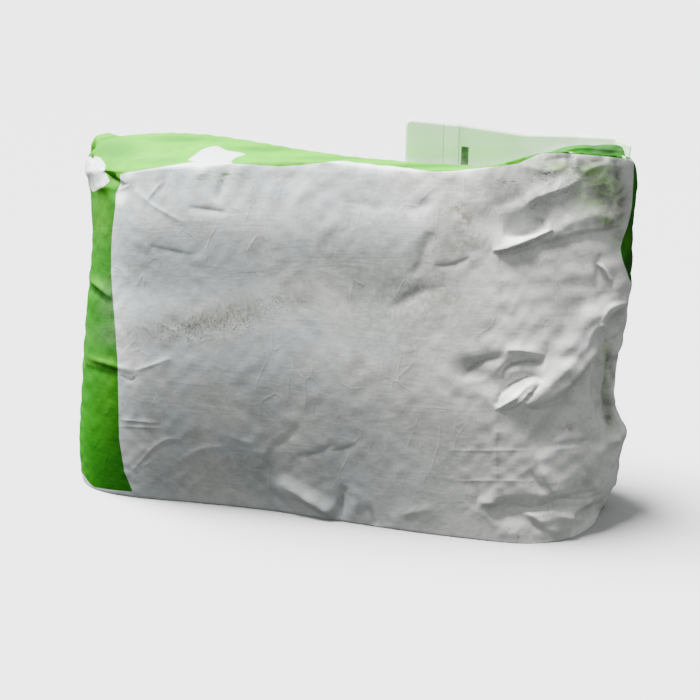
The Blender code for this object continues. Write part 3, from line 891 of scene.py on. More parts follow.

# %% [markdown]
# ## Dirt, painted shade and painted sheen, where they lie
# The sack has stood outdoors. An olive dusty band crosses the left half, a beige stain sits near the top, and
# a little green ink has rubbed off on the white. Where the two films of the empty end lie on each other, the
# green of the one behind glows through. Other maps hold painted shade in folds, hollows and under the belly,
# and painted sheen on the green ink, with a few bands where that sheen is held back. A plain noise would
# spread all this evenly, so each kind gets its own map: soft ovals at picture points, kept as one number per
# film point. The material breaks them up.

# %% Maps of dirt, painted shade and painted sheen
Stain = namedtuple("Stain", "column row wide high strength")
STAINS = {
    "olive_dust": (
        Stain(205, 322, 38, 14, 1.0), Stain(240, 311, 40, 14, 1.0), Stain(150, 333, 38, 14, 0.8),
        Stain(290, 300, 36, 11, 0.7), Stain(215, 338, 50, 9, 0.5), Stain(425, 330, 34, 14, 0.4),
        Stain(215, 470, 60, 20, 0.35), Stain(190, 440, 34, 9, 0.3), Stain(150, 240, 30, 50, 0.25),
        Stain(330, 250, 60, 40, 0.2), Stain(360, 400, 70, 30, 0.2), Stain(405, 305, 80, 50, 0.65),
        Stain(470, 240, 36, 20, 0.45), Stain(430, 265, 20, 22, 0.3), Stain(330, 480, 60, 26, 0.12),
        Stain(520, 180, 40, 12, 0.2), Stain(300, 455, 50, 16, 0.15), Stain(205, 180, 60, 14, 0.12),
        Stain(497, 285, 16, 22, 0.35), Stain(115, 300, 14, 30, 0.25),
    ),
    "beige_stain": (
        Stain(459, 208, 10, 8, 1.0), Stain(464, 220, 14, 8, 0.8), Stain(568, 427, 7.5, 3.4, 1.0),
        Stain(590, 430, 12, 3, 0.4), Stain(385, 218, 26, 7, 0.35), Stain(553, 178, 22, 6, 0.25),
        Stain(500, 276, 2.4, 26, 0.6), Stain(497, 452, 3.5, 34, 0.45), Stain(570, 286, 22, 2.6, 0.5),
        Stain(470, 242, 30, 14, 0.4), Stain(452, 300, 22, 12, 0.3),
        Stain(472, 483, 16, 3, 0.5),
    ),
    "green_scuff": (
        Stain(218, 174, 26, 2.6, 1.0), Stain(214, 181, 30, 3, 0.9), Stain(190, 189, 20, 2.5, 0.6),
        Stain(270, 178, 30, 5, 0.4), Stain(436, 292, 3.2, 12, 1.0), Stain(444, 287, 2.4, 8, 0.9),
        Stain(437, 303, 3.5, 5, 1.0), Stain(428, 312, 5, 3, 0.7), Stain(497, 462, 2.6, 10, 0.8),
        Stain(254, 467, 7, 2, 0.8), Stain(235, 487, 30, 2.5, 0.35), Stain(496, 500, 3, 8, 0.4),
    ),
    "see_through": (
        Stain(556, 166, 28, 5, 0.9), Stain(592, 171, 24, 9, 1.0), Stain(602, 190, 17, 26, 1.0),
        Stain(588, 196, 14, 18, 0.8), Stain(608, 220, 14, 9, 0.9), Stain(606, 352, 3.5, 20, 0.65),
        Stain(606, 385, 4, 18, 0.5), Stain(610, 420, 5, 12, 0.35), Stain(618, 238, 8, 14, 0.5),
    ),
    # painted shade: grey in hollows, folds and under the belly
    "painted_shade": (
        Stain(600, 161, 22, 3.2, 1.0), Stain(617, 176, 6, 14, 0.8), Stain(621, 200, 6, 20, 0.7),
        Stain(600, 205, 20, 16, 0.35), Stain(535, 205, 16, 14, 0.35), Stain(535, 222, 14, 8, 0.45),
        Stain(611, 365, 3, 16, 0.6), Stain(608, 412, 6, 18, 0.7), Stain(603, 510, 7, 7, 0.6),
        Stain(575, 505, 40, 3.5, 0.3), Stain(585, 252, 26, 8, 0.3), Stain(600, 290, 10, 20, 0.3),
    ),
    # painted sheen: pale bands on the left green strip
    "painted_strip_sheen": (
        Stain(102, 215, 9, 26, 0.55), Stain(99, 283, 15, 5, 0.3), Stain(103, 362, 16, 4.5, 0.6),
        Stain(108, 400, 10, 46, 0.25), Stain(94, 240, 6, 20, 0.15), Stain(627, 240, 3, 12, 0.5),
    ),
    # painted shade: darker green in folds and under overhangs
    "painted_ink_shade": (
        Stain(608, 151, 30, 6.5, 1.0), Stain(586, 149, 12, 3, 0.5), Stain(622, 151, 14, 4, 0.7),
        Stain(626, 222, 6, 16, 0.6), Stain(628, 262, 5, 16, 0.8), Stain(112, 178, 7, 4, 0.6),
        Stain(92, 157, 3, 3, 0.9), Stain(100, 310, 16, 10, 0.3),
    ),
    # where the painted sheen on the top green is held back
    "less_top_sheen": (
        Stain(112, 150, 32, 14, 0.8), Stain(183, 139, 42, 4.5, 0.8), Stain(262, 149, 50, 4, 0.7),
        Stain(150, 161, 50, 5, 0.5), Stain(330, 158, 60, 3, 0.6), Stain(420, 166, 60, 3, 0.9),
    ),
    "dark_specks": (
        Stain(225, 322, 54, 18, 1.0), Stain(185, 330, 40, 18, 1.0), Stain(275, 305, 46, 18, 0.8),
        Stain(135, 332, 30, 22, 0.6), Stain(160, 345, 60, 14, 0.4), Stain(530, 180, 50, 20, 0.35),
        Stain(470, 235, 50, 25, 0.3), Stain(460, 460, 60, 40, 0.25), Stain(330, 470, 70, 30, 0.25),
    ),
    "ink_traces": (
        Stain(512, 182, 22, 5, 0.9), Stain(548, 176, 22, 9, 1.0), Stain(576, 172, 14, 12, 0.9),
        Stain(598, 178, 10, 10, 0.6), Stain(560, 190, 30, 8, 0.5), Stain(440, 175, 20, 5, 0.4),
        Stain(545, 215, 30, 12, 0.35), Stain(455, 498, 40, 4, 0.5), Stain(405, 318, 12, 12, 0.4),
    ),
}
print(sum(len(stains) for stains in STAINS.values()), "ovals of", len(STAINS), "kinds")

# %% [markdown]
# Each kind becomes one number per film point: the strongest of its ovals there. Points that face away from
# the camera get nothing, since the photograph says nothing about them.

# %% Write the maps
SEEN_FROM = 0.05
seen_share = smoothstep(0.0, SEEN_FROM, facing)
for kind, stains in STAINS.items():
    amount = np.zeros(len(film_points))
    for stain in stains:
        reach = ((column - stain.column) / stain.wide) ** 2 + ((row - stain.row) / stain.high) ** 2
        amount = np.maximum(amount, stain.strength * np.exp(-reach))
    write_note(film.data, kind, amount * seen_share)
    print(kind, "covers", round(float((amount * seen_share > 0.2).mean() * 100), 1), "% of the film")

# %% [markdown]
# ## The folded-back end
# The tube's empty right end is two films welded together. It is folded back behind the sack and stands a
# little above it. It is a sheet that hardly bends, so it is a fine grid laid along the same route as in the
# solid model, with a rounded corner, low waves, and the pressed lines of the weld.

# %% The folded end's route
FLAP_ROUTE_X = (0.049, 0.096, 0.141, 0.181, 0.208, 0.216)
FLAP_ROUTE_Y = (0.0752, 0.0738, 0.0675, 0.0555, 0.0415, 0.0120)
FLAP_TOP_Z = (0.3030, 0.2985, 0.2920, 0.2915, 0.2905, 0.2860)
FLAP_LEAN = (0.94, 1.00, 0.72)
FLAP_FOOT_Z, FLAP_LENGTH, FACE_HEIGHT = 0.030, 0.195, 0.280
FLAP_CELLS = (96, 110)
CORNER_RADIUS, CORNER_DROP = 0.004, 0.003
SLANTED_WAVE, SLANTED_ALONG, SLANTED_UP = 0.0012, 62, 30
LEVEL_WAVE, LEVEL_UP, LEVEL_START = 0.0008, 95, 1.3
WELD_LINES = (0.0255, 0.0290, 0.0322, 0.0357)
WELD_LINE_WIDTH, WELD_LINE_DEPTH = 0.0011, 0.0006


def flap_grid():
    mesh = bpy.data.meshes.new("folded_end")
    grid = bmesh.new()
    bmesh.ops.create_grid(grid, x_segments=FLAP_CELLS[0], y_segments=FLAP_CELLS[1], size=1)
    grid.to_mesh(mesh)
    grid.free()
    return new_object("folded_end", mesh)


def flap_places(plain):
    """Lays the plain grid along the route. Also returns each point's distance from the free edge, and the
    height of the top edge above it."""
    route = np.linspace(-1, 1, len(FLAP_ROUTE_X))
    route_x = np.interp(plain[:, 0], route, FLAP_ROUTE_X)
    route_y = np.interp(plain[:, 0], route, FLAP_ROUTE_Y)
    from_edge = (plain[:, 0] + 1) / 2 * FLAP_LENGTH
    corner = np.clip(1 - from_edge / CORNER_RADIUS, 0, 1)
    top = np.interp(plain[:, 0], route, FLAP_TOP_Z) - CORNER_DROP * corner ** 2
    z = FLAP_FOOT_Z + (top - FLAP_FOOT_Z) * (plain[:, 1] + 1) / 2
    lean = np.interp(z / FACE_HEIGHT, (0, BELLY_SHARE, 1), FLAP_LEAN)
    slanted = SLANTED_WAVE * np.sin(from_edge * SLANTED_ALONG + z * SLANTED_UP)
    wave = slanted + LEVEL_WAVE * np.sin(z * LEVEL_UP + LEVEL_START)
    weld = sum(np.exp(-((from_edge - line) / WELD_LINE_WIDTH) ** 2) for line in WELD_LINES)
    y = route_y * lean + wave - WELD_LINE_DEPTH * weld
    return np.stack([route_x, y, z], axis=1), from_edge, top


folded_end = flap_grid()
free_points, from_edge, flap_top = flap_places(points_of(folded_end.data))
print("folded end's grid has", len(free_points), "points, and is", round(float(flap_top.max()), 4), "m high")

# %% [markdown]
# The route alone would cut into the filled sack in places. Points inside it are pushed out in a few rounds,
# and each round's pushes are ironed, so that the sheet bends instead of folding. The top edge hangs free.
# Solidify then gives the sheet the thickness of two films.

# %% Lay the folded end
DOUBLE_FILM = 0.0006
AIR_GAP, LAYING_REACH = 0.0009, 0.03
LAYING_ROUNDS, LAYING_IRONS = 4, 6
HANGS_FREE_BELOW_TOP = (0.028, 0.010)


def laid_on_film(points, edges):
    """Pushes the points that would be inside the filled sack out of it, and irons the pushes."""
    surface = BVHTree.FromObject(film, bpy.context.evaluated_depsgraph_get())
    for _ in range(LAYING_ROUNDS):
        push = np.zeros_like(points)
        for number, point in enumerate(points):
            place, normal, _, distance = surface.find_nearest(Vector(point), LAYING_REACH)
            if place is not None:
                height = (Vector(point) - place).dot(normal)
                push[number] = normal * max(AIR_GAP - height, 0)
        soft = ironed(push, edges, LAYING_IRONS)
        softer = np.linalg.norm(soft, axis=1) > np.linalg.norm(push, axis=1)
        points = points + np.where(softer[:, None], soft, push)
    return points


flap_points = laid_on_film(free_points, edges_of(folded_end.data))
hangs_free = smoothstep(*HANGS_FREE_BELOW_TOP, flap_top - free_points[:, 2])[:, None]
flap_points = flap_points + (free_points - flap_points) * hangs_free
farthest = float(np.linalg.norm(flap_points - free_points, axis=1).max())
print("folded end moved by up to", round(farthest / MM, 1), "mm")
set_points(folded_end.data, flap_points)
write_note(folded_end.data, "rest", flap_points, "FLOAT_VECTOR")
write_note(folded_end.data, "from_edge", from_edge / MM)
write_note(folded_end.data, "below_top", (flap_top - flap_points[:, 2]) / MM)
wall = folded_end.modifiers.new("two_films", "SOLIDIFY")
wall.thickness = DOUBLE_FILM
wall.offset = 0
bpy.context.view_layer.update()
applied(folded_end)
folded_end.data.shade_smooth()
print("folded end has", len(folded_end.data.polygons), "faces")

# %% [markdown]
# ## Floor and light
# The photograph was taken under a bright overcast sky: the light comes from above and a little from the
# left, it is broad, and the lower front gets much less of it than the top.
# A pale floor would throw so much light back up that every fold goes flat. The real ground was dull, so
# the floor is hidden from bounced light and still shows the sack's shadow to the camera.

# %% Floor
FLOOR_GREY = 0.48
FLOOR_WIDTH, BELOW_SACK = 120, 0.0005

bpy.ops.mesh.primitive_plane_add(size=FLOOR_WIDTH, location=(0, 0, -BELOW_SACK))
floor = bpy.context.object
floor.name = "floor"
floor_material = bpy.data.materials.new("pale_floor")
floor_material.use_nodes = True
floor_shader = floor_material.node_tree.nodes["Principled BSDF"]
floor_shader.inputs["Base Color"].default_value = (FLOOR_GREY, FLOOR_GREY, FLOOR_GREY, 1)
floor_shader.inputs["Roughness"].default_value = 0.9
floor_shader.inputs["Specular IOR Level"].default_value = 0.1
floor.data.materials.append(floor_material)
floor.visible_diffuse = False
floor.visible_glossy = False
floor.visible_shadow = False
print("floor is", FLOOR_WIDTH, "m wide")

# %% [markdown]
# A lamp near the sack would light the floor only near it. A sun lamp lights it evenly up to the horizon. Its
# angle says how wide the light is: a clear sky's sun has half a degree and throws sharp shadows, and this
# one is wide enough to stand for the brightest part of an overcast sky.

# %% Soft sun
SUN_FROM = Vector((-0.36, 0.02, 0.93))
SUN_POWER, SUN_WIDTH = 26.0, math.radians(27)

sun_data = bpy.data.lights.new("soft_sun", "SUN")
sun_data.energy = SUN_POWER
sun_data.angle = SUN_WIDTH
sun = new_object("soft_sun", sun_data)
sun.location = SUN_FROM * 2
sun.rotation_euler = (-SUN_FROM).to_track_quat("-Z", "Y").to_euler()
print("soft sun of", SUN_POWER, "and", round(math.degrees(SUN_WIDTH)), "degrees")

# %% [markdown]
# The sky fills in the shade. It is dim, it hardly glows below the horizon, and a low band behind the sack
# adds the sheen on its top. To the camera alone it is as bright as the floor at the horizon, so that no
# line shows between them. The Light Path node tells the camera's own view from all other light.

# %% Sky
SKY_OVERHEAD, SKY_AT_HORIZON, GROUND_GLOW = 0.56, 3.85, 0.14
GLOW_BEHIND = 0.5
HORIZON, GLOW_TOP, BEHIND_SACK = (-0.03, 0.0), (0.14, 0.2), (0.25, 0.7)
SKY_COLOUR = (0.97, 0.985, 1.0, 1)

world = bpy.data.worlds.new("studio_sky")
world.use_nodes = True
sky = world.node_tree
direction = sky.nodes.new("ShaderNodeTexCoord")
split = sky.nodes.new("ShaderNodeSeparateXYZ")
sky.links.new(direction.outputs["Generated"], split.inputs[0])


def sky_range(axis, low, high, below, above):
    ramp = sky.nodes.new("ShaderNodeMapRange")
    for name, number in (("From Min", low), ("From Max", high), ("To Min", below), ("To Max", above)):
        ramp.inputs[name].default_value = number
    sky.links.new(split.outputs[axis], ramp.inputs["Value"])
    return ramp.outputs["Result"]


def sky_sum(kind, first, second):
    joined = sky.nodes.new("ShaderNodeMath")
    joined.operation = kind
    sky.links.new(first, joined.inputs[0])
    sky.links.new(second, joined.inputs[1])
    return joined.outputs[0]


behind = sky_range("Y", *BEHIND_SACK, 0.0, 1.0)
low_band = sky_range("Z", *GLOW_TOP, GLOW_BEHIND, 0.0)
above_ground = sky_range("Z", *HORIZON, GROUND_GLOW, SKY_OVERHEAD)
above_horizon = sky_range("Z", *HORIZON, 0.0, 1.0)
lit_band = sky_sum("MULTIPLY", sky_sum("MULTIPLY", behind, low_band), above_horizon)
seen = sky.nodes.new("ShaderNodeLightPath")
backdrop = sky.nodes.new("ShaderNodeMix")
sky.links.new(seen.outputs["Is Camera Ray"], backdrop.inputs["Factor"])
sky.links.new(sky_sum("ADD", above_ground, lit_band), backdrop.inputs["A"])
backdrop.inputs["B"].default_value = SKY_AT_HORIZON
sky.links.new(backdrop.outputs["Result"], sky.nodes["Background"].inputs["Strength"])
sky.nodes["Background"].inputs["Color"].default_value = SKY_COLOUR
bpy.context.scene.world = world
print("sky", SKY_OVERHEAD, "overhead and", SKY_AT_HORIZON, "at the horizon")

# %% [markdown]
# ## Building a finish
# A finish here is a small network of nodes. These helpers add one node each and connect it, so that the
# recipes below read from top to bottom: take a pattern, turn it into a share from 0 to 1, and mix a colour
# in by that share. All patterns run through the film's own place, so they stay put from every side.

# %% Pattern helpers
# A scale of three numbers stretches a pattern: its marks are longest along the axis with the smallest one.
Pattern = namedtuple("Pattern", "scale detail roughness distortion turn", defaults=(0.55, 0.0, (0, 0, 0)))


def material_named(name, roughness):
    material = bpy.data.materials.new(name)
    material.use_nodes = True
    shader = material.node_tree.nodes["Principled BSDF"]
    shader.inputs["Roughness"].default_value = roughness
    return material, material.node_tree, shader


def feed(socket, value):
    """Sets a socket to a plain value, or links another socket to it."""
    if isinstance(value, bpy.types.NodeSocket):
        socket.id_data.links.new(value, socket)
    else:
        socket.default_value = value


def note_of(tree, name, vector=False):
    """Reads what write_note kept on the mesh."""
    reader = tree.nodes.new("ShaderNodeAttribute")
    reader.attribute_name = name
    return reader.outputs["Vector" if vector else "Fac"]


def stretched(tree, place, scale, turn):
    """The same place, stretched and turned, which makes a pattern longer one way."""
    mapping = tree.nodes.new("ShaderNodeMapping")
    feed(mapping.inputs["Vector"], place)
    feed(mapping.inputs["Scale"], scale)
    feed(mapping.inputs["Rotation"], turn)
    return mapping.outputs["Vector"]


def noise(tree, place, pattern):
    scale = pattern.scale
    if isinstance(scale, tuple):
        place, scale = stretched(tree, place, scale, pattern.turn), 1
    node = tree.nodes.new("ShaderNodeTexNoise")
    feed(node.inputs["Vector"], place)
    feed(node.inputs["Scale"], scale)
    feed(node.inputs["Detail"], pattern.detail)
    feed(node.inputs["Roughness"], pattern.roughness)
    feed(node.inputs["Distortion"], pattern.distortion)
    return node.outputs["Fac"]


print("materials so far:", [material.name for material in bpy.data.materials])

# %% [markdown]
# The second set of helpers works on what a pattern gives: sums and products, shares, colours and bumps.

# %% Mixing helpers
def arithmetic(tree, kind, first, second=0.0):
    sum_node = tree.nodes.new("ShaderNodeMath")
    sum_node.operation = kind
    feed(sum_node.inputs[0], first)
    feed(sum_node.inputs[1], second)
    return sum_node.outputs[0]


def product(tree, first, *others):
    """All the values multiplied, so that a share counts only where every one of them does."""
    for other in others:
        first = arithmetic(tree, "MULTIPLY", first, other)
    return first


def share_between(tree, value, low, high, least=0.0, most=1.0):
    """Turns a value into a share: least below low, most above high, and smooth between."""
    ramp = tree.nodes.new("ShaderNodeMapRange")
    ramp.interpolation_type = "SMOOTHSTEP"
    for name, number in (("From Min", low), ("From Max", high), ("To Min", least), ("To Max", most)):
        feed(ramp.inputs[name], number)
    feed(ramp.inputs["Value"], value)
    return ramp.outputs["Result"]


def mixed(tree, share, first, second):
    """The first colour, with as much of the second one as the share says."""
    mix = tree.nodes.new("ShaderNodeMix")
    mix.data_type = "RGBA"
    feed(mix.inputs["Factor"], share)
    colours = [socket for socket in mix.inputs if socket.type == "RGBA"]
    for socket, colour in zip(colours, (first, second)):
        feed(socket, colour if isinstance(colour, bpy.types.NodeSocket) else (*colour, 1))
    return [socket for socket in mix.outputs if socket.type == "RGBA"][0]


def bumped(tree, height, distance, below=None):
    """Turns a height pattern into a surface normal, on top of the normal below it."""
    bump = tree.nodes.new("ShaderNodeBump")
    feed(bump.inputs["Height"], height)
    feed(bump.inputs["Distance"], distance)
    if below is not None:
        feed(bump.inputs["Normal"], below)
    return bump.outputs["Normal"]


print("ready to mix the finish of", film.name, "and of", folded_end.name)

# %% [markdown]
# ## The film's finish
# The film is white polyethylene with green ink. White is never one white: it is cooler where the film is
# thin, warmer where it is handled. The ink varies a little in tone. Its upper side and bands of the left
# strip are painted paler, as painted sheen, and a few folds are painted darker, as painted shade. The note
# on the print's edges then chooses between white and green.
# Each range below is two values of a pattern, or two places in metres, and where it isn't from 0 to 1, the
# shares at both.

# %% White film and green ink
CLEAN_WHITE, COOL_WHITE, DUSTY_WHITE = (0.82, 0.84, 0.80), (0.66, 0.73, 0.74), (0.46, 0.47, 0.43)
DEEP_GREEN, LIGHT_GREEN, STRIP_SHEEN_GREEN = (0.009, 0.13, 0.0001), (0.017, 0.175, 0.0004), (0.10, 0.36, 0.02)
TOP_SHEEN_GREEN, SHADED_GREEN = (0.085, 0.45, 0.0005), (0.004, 0.040, 0.0002)
CLOUDS, PATCHES = Pattern(14, 3), Pattern(55, 5, 0.65)
MOTTLES, FINE_DUST = Pattern(32, 7, 0.72), Pattern(480, 3, 0.7)
COOL_CLOUDS, COOL_LEFT_OF = (0.35, 0.6), (0.12, -0.02)
DUSTY_MOTTLES, DUSTY_GRAINS = (0.44, 0.66, 0.0, 0.55), (0.5, 0.72, 0.0, 0.4)
LIGHT_CLOUDS, STRIP_SHEEN_PATCHES = (0.35, 0.65), (0.3, 0.6, 0.6, 1.0)
TOP_SHEEN_ABOVE, TOP_SHEEN_LEFT_OF = (0.245, 0.272, 0.0, 0.85), (0.150, 0.120)
LESS_TOP_SHEEN, TOP_SHEEN_MOTTLES = (0.0, 1.0, 1.0, 0.1), (0.4, 0.6, 1.0, 0.8)
PRINT_EDGE = (-0.3, 0.3)

film_material, tree, shader = material_named("printed_film", 0.4)
place = note_of(tree, "rest", vector=True)
cloudy = noise(tree, place, CLOUDS)
patchy = noise(tree, place, PATCHES)
mottled = noise(tree, place, MOTTLES)
axes = tree.nodes.new("ShaderNodeSeparateXYZ")
feed(axes.inputs[0], place)
along, above = axes.outputs["X"], axes.outputs["Z"]

cool = product(tree, share_between(tree, cloudy, *COOL_CLOUDS), share_between(tree, along, *COOL_LEFT_OF))
white = mixed(tree, cool, CLEAN_WHITE, COOL_WHITE)
white = mixed(tree, share_between(tree, mottled, *DUSTY_MOTTLES), white, DUSTY_WHITE)
white = mixed(tree, share_between(tree, noise(tree, place, FINE_DUST), *DUSTY_GRAINS), white, DUSTY_WHITE)
green = mixed(tree, share_between(tree, cloudy, *LIGHT_CLOUDS), DEEP_GREEN, LIGHT_GREEN)
# Painted sheen: pale bands on the left green strip.
strip_sheen = product(tree, note_of(tree, "painted_strip_sheen"), share_between(tree, patchy, *STRIP_SHEEN_PATCHES))
green = mixed(tree, strip_sheen, green, STRIP_SHEEN_GREEN)
# Painted sheen: the upper side of the green is mixed paler, less so in a few bands.
top_sheen = product(
    tree,
    share_between(tree, above, *TOP_SHEEN_ABOVE),
    share_between(tree, along, *TOP_SHEEN_LEFT_OF),
    share_between(tree, note_of(tree, "less_top_sheen"), *LESS_TOP_SHEEN),
    share_between(tree, mottled, *TOP_SHEEN_MOTTLES),
)
green = mixed(tree, top_sheen, green, TOP_SHEEN_GREEN)
# Painted shade: the green is darker in folds and under overhangs.
green = mixed(tree, note_of(tree, "painted_ink_shade"), green, SHADED_GREEN)
on_white = share_between(tree, note_of(tree, "white_distance"), *PRINT_EDGE)
colour = mixed(tree, on_white, green, white)
print("white and green take", len(tree.nodes), "nodes")

# %% [markdown]
# The film is thin, so what lies behind it shows. Where a second printed film is behind the white, its green
# shines through in streaks. In hollows, in folds and under the belly, the white is painted grey in streaks,
# as painted shade.

# %% What shows through the film, and painted shade
GLOW_GREEN, GLOW_GREY, SHADE_GREY = (0.30, 0.52, 0.17), (0.17, 0.20, 0.14), (0.10, 0.10, 0.085)
STREAKS = Pattern((55, 90, 120), 5, 0.65, 0.8, (0.0, -0.7, 0.0))
GLOW_PATCHES, GREY_STREAKS, SHADE_STREAKS = (0.3, 0.6, 0.7, 1.0), (0.46, 0.58), (0.4, 0.56, 0.5, 1.0)

glow = product(tree, note_of(tree, "see_through"), share_between(tree, patchy, *GLOW_PATCHES), on_white)
streaked = noise(tree, place, STREAKS)
shining = mixed(tree, share_between(tree, streaked, *GREY_STREAKS), GLOW_GREEN, GLOW_GREY)
colour = mixed(tree, glow, colour, shining)
# Painted shade: the white turns grey in streaks in hollows, folds and under the belly.
shaded = share_between(tree, streaked, *SHADE_STREAKS)
shaded = product(tree, note_of(tree, "painted_shade"), shaded, on_white)
colour = mixed(tree, shaded, colour, SHADE_GREY)
print("with what shows through,", len(tree.nodes), "nodes")

# %% [markdown]
# Dirt sits on top of the print. Each kind has its map from above and a pattern that breaks the map up: dust
# and stains in grains, rubbed ink and old ink in short level lines, and specks where a fine pattern passes
# a limit. The limit is lower where the map says that there are many.

# %% Dirt and wear
OLIVE_DUST, BEIGE_DIRT, RUBBED_INK = (0.27, 0.27, 0.215), (0.34, 0.29, 0.19), (0.08, 0.30, 0.015)
SOOT, ALGAE, OLD_INK = (0.02, 0.02, 0.018), (0.05, 0.06, 0.03), (0.06, 0.06, 0.055)
GRAIN, SPECKLES, SOOT_SPECKS = Pattern(260, 4, 0.65), Pattern(1000, 2, 0.7), Pattern(620, 2, 0.7)
RUB_LINES, INK_LINES = Pattern((120, 120, 420), 3, 0.7), Pattern((260, 260, 900), 3, 0.7)
DUST_GRAINS, STAIN_GRAINS = (0.30, 0.66, 0.35, 1.0), (0.40, 0.60)
RUBBED_FROM, TRACES_FROM = (0.52, 0.62), (0.56, 0.62)
SPECK_LIMIT, SPECK_EDGE, SPECK_STRENGTH = (0.0, 1.0, 0.76, 0.555), (0.0, 0.03), 0.92
SOOT_FROM = (0.725, 0.75, 0.0, 0.8)

grainy = noise(tree, place, GRAIN)
dust = product(tree, note_of(tree, "olive_dust"), share_between(tree, grainy, *DUST_GRAINS))
colour = mixed(tree, dust, colour, OLIVE_DUST)
beige = product(tree, note_of(tree, "beige_stain"), share_between(tree, grainy, *STAIN_GRAINS))
colour = mixed(tree, beige, colour, BEIGE_DIRT)
rubbed = share_between(tree, noise(tree, place, RUB_LINES), *RUBBED_FROM)
colour = mixed(tree, product(tree, note_of(tree, "green_scuff"), rubbed), colour, RUBBED_INK)
speck_limit = share_between(tree, note_of(tree, "dark_specks"), *SPECK_LIMIT)
past_limit = arithmetic(tree, "SUBTRACT", noise(tree, place, SPECKLES), speck_limit)
specks = product(tree, share_between(tree, past_limit, *SPECK_EDGE), SPECK_STRENGTH)
colour = mixed(tree, specks, colour, ALGAE)
few_specks = share_between(tree, noise(tree, place, SOOT_SPECKS), *SOOT_FROM)
colour = mixed(tree, few_specks, colour, SOOT)
traces = share_between(tree, noise(tree, place, INK_LINES), *TRACES_FROM)
colour = mixed(tree, product(tree, traces, note_of(tree, "ink_traces"), on_white), colour, OLD_INK)
print("with the dirt,", len(tree.nodes), "nodes")

# %% [markdown]
# The film is painted greyer low down, as painted shade for the sack's own shade. The grey thins out
# towards both ends. The furrows noted before are painted darker, as painted shade.

# %% Painted shade low down and in the furrows
LOW_SHADE_GREY = (0.28, 0.29, 0.28)
GREY_BELOW, GREY_PATCHES = (0.04, 0.27, 0.30, 0.0), (0.2, 0.6, 0.6, 1.0)
LESS_AT_RIGHT, LESS_AT_LEFT = (0.11, 0.16, 1.0, 0.15), (-0.17, -0.12, 0.6, 1.0)
FURROW_SHADE = (0.1, 1.6, 0.0, 0.55)

# Painted shade: the white is greyer low down, less so towards both ends.
low_shade = product(
    tree,
    share_between(tree, above, *GREY_BELOW),
    share_between(tree, along, *LESS_AT_RIGHT),
    share_between(tree, along, *LESS_AT_LEFT),
    on_white,
    share_between(tree, patchy, *GREY_PATCHES),
)
colour = mixed(tree, low_shade, colour, LOW_SHADE_GREY)
# Painted shade: the film is darker where it lies deep in a furrow.
furrow_shade = share_between(tree, note_of(tree, "hollow"), *FURROW_SHADE)
colour = mixed(tree, furrow_shade, colour, SHADE_GREY)
feed(shader.inputs["Base Color"], colour)
print("with the greys,", len(tree.nodes), "nodes")

# %% [markdown]
# Clean film has a satin shine. Dust is dull and the weathered ink is duller still, so the roughness follows
# both. A strong highlight would wash the greens out, so the film reflects little.

# %% Shine
SHINE_CLOUDS = Pattern(40, 4)
SATIN, MATT_INK = (0.3, 0.7, 0.25, 0.42), (0.0, 1.0, 0.45, 0.0)
DULL_DUST = 0.35

gloss = share_between(tree, noise(tree, place, SHINE_CLOUDS), *SATIN)
gloss = arithmetic(tree, "ADD", gloss, share_between(tree, on_white, *MATT_INK))
dull = product(tree, arithmetic(tree, "MAXIMUM", dust, beige), DULL_DUST)
feed(shader.inputs["Roughness"], arithmetic(tree, "ADD", gloss, dull))
shader.inputs["Specular IOR Level"].default_value = 0.16
print("with the shine,", len(tree.nodes), "nodes")

# %% [markdown]
# The crinkles too small for the mesh are bump: long ones along the pull of the film, flat facets, straight
# creases between them, and short crinkles in all directions. The place of the facets is bent a little, so
# that their edges aren't straight lines from end to end. The depths are in metres.

# %% Relief
PULLS, BENDS = Pattern((14, 14, 60), 4, 0.6, 0.8, (0.0, 0.35, 0.0)), Pattern(16, 2)
CREASE_PLACES, CRINKLES = Pattern(34, 2), Pattern(75, 4)
PULL_DEPTH, FACET_DEPTH, CREASE_DEPTH = 0.0003, 0.0005, 0.00007
CRINKLE_DEPTH, GRAIN_DEPTH = 0.0003, 0.00005
BEND_REACH, FACET_SCALE = 0.03, 24
CREASE_SCALE, CREASE_TURN = (70, 70, 24), (0.3, 0.5, 0.0)
CREASE_WIDTH, CREASED_FROM = (0.0, 0.06, 1.0, 0.0), (0.50, 0.62)


def cells(tree, place, scale, feature="F1"):
    """Straight-edged cells, which look like film pressed into facets."""
    node = tree.nodes.new("ShaderNodeTexVoronoi")
    node.feature = feature
    node.inputs["Scale"].default_value = scale
    feed(node.inputs["Vector"], place)
    return node.outputs["Distance"]


bent = tree.nodes.new("ShaderNodeVectorMath")
bent.operation = "ADD"
feed(bent.inputs[0], place)
feed(bent.inputs[1], product(tree, noise(tree, place, BENDS), BEND_REACH))
bent_place = bent.outputs[0]
facets = cells(tree, bent_place, FACET_SCALE)
straight = cells(tree, stretched(tree, bent_place, CREASE_SCALE, CREASE_TURN), 1, "DISTANCE_TO_EDGE")
creased = share_between(tree, straight, *CREASE_WIDTH)
creased = product(tree, creased, share_between(tree, noise(tree, place, CREASE_PLACES), *CREASED_FROM))
normal = bumped(tree, noise(tree, place, PULLS), PULL_DEPTH)
normal = bumped(tree, facets, FACET_DEPTH, normal)
normal = bumped(tree, creased, CREASE_DEPTH, normal)
normal = bumped(tree, noise(tree, place, CRINKLES), CRINKLE_DEPTH, normal)
normal = bumped(tree, grainy, GRAIN_DEPTH, normal)
feed(shader.inputs["Normal"], normal)
film.data.materials.clear()
film.data.materials.append(film_material)
print("film finish has", len(tree.nodes), "nodes")

# %% [markdown]
# ## The folded end's finish
# Two films on each other let some light through, so the end looks pale and greenish, and deeper green
# towards the fold. Lines of pressed weld run down near the free edge, whiter than the rest and frayed at
# the sides. All distances from the edges are in millimetres.

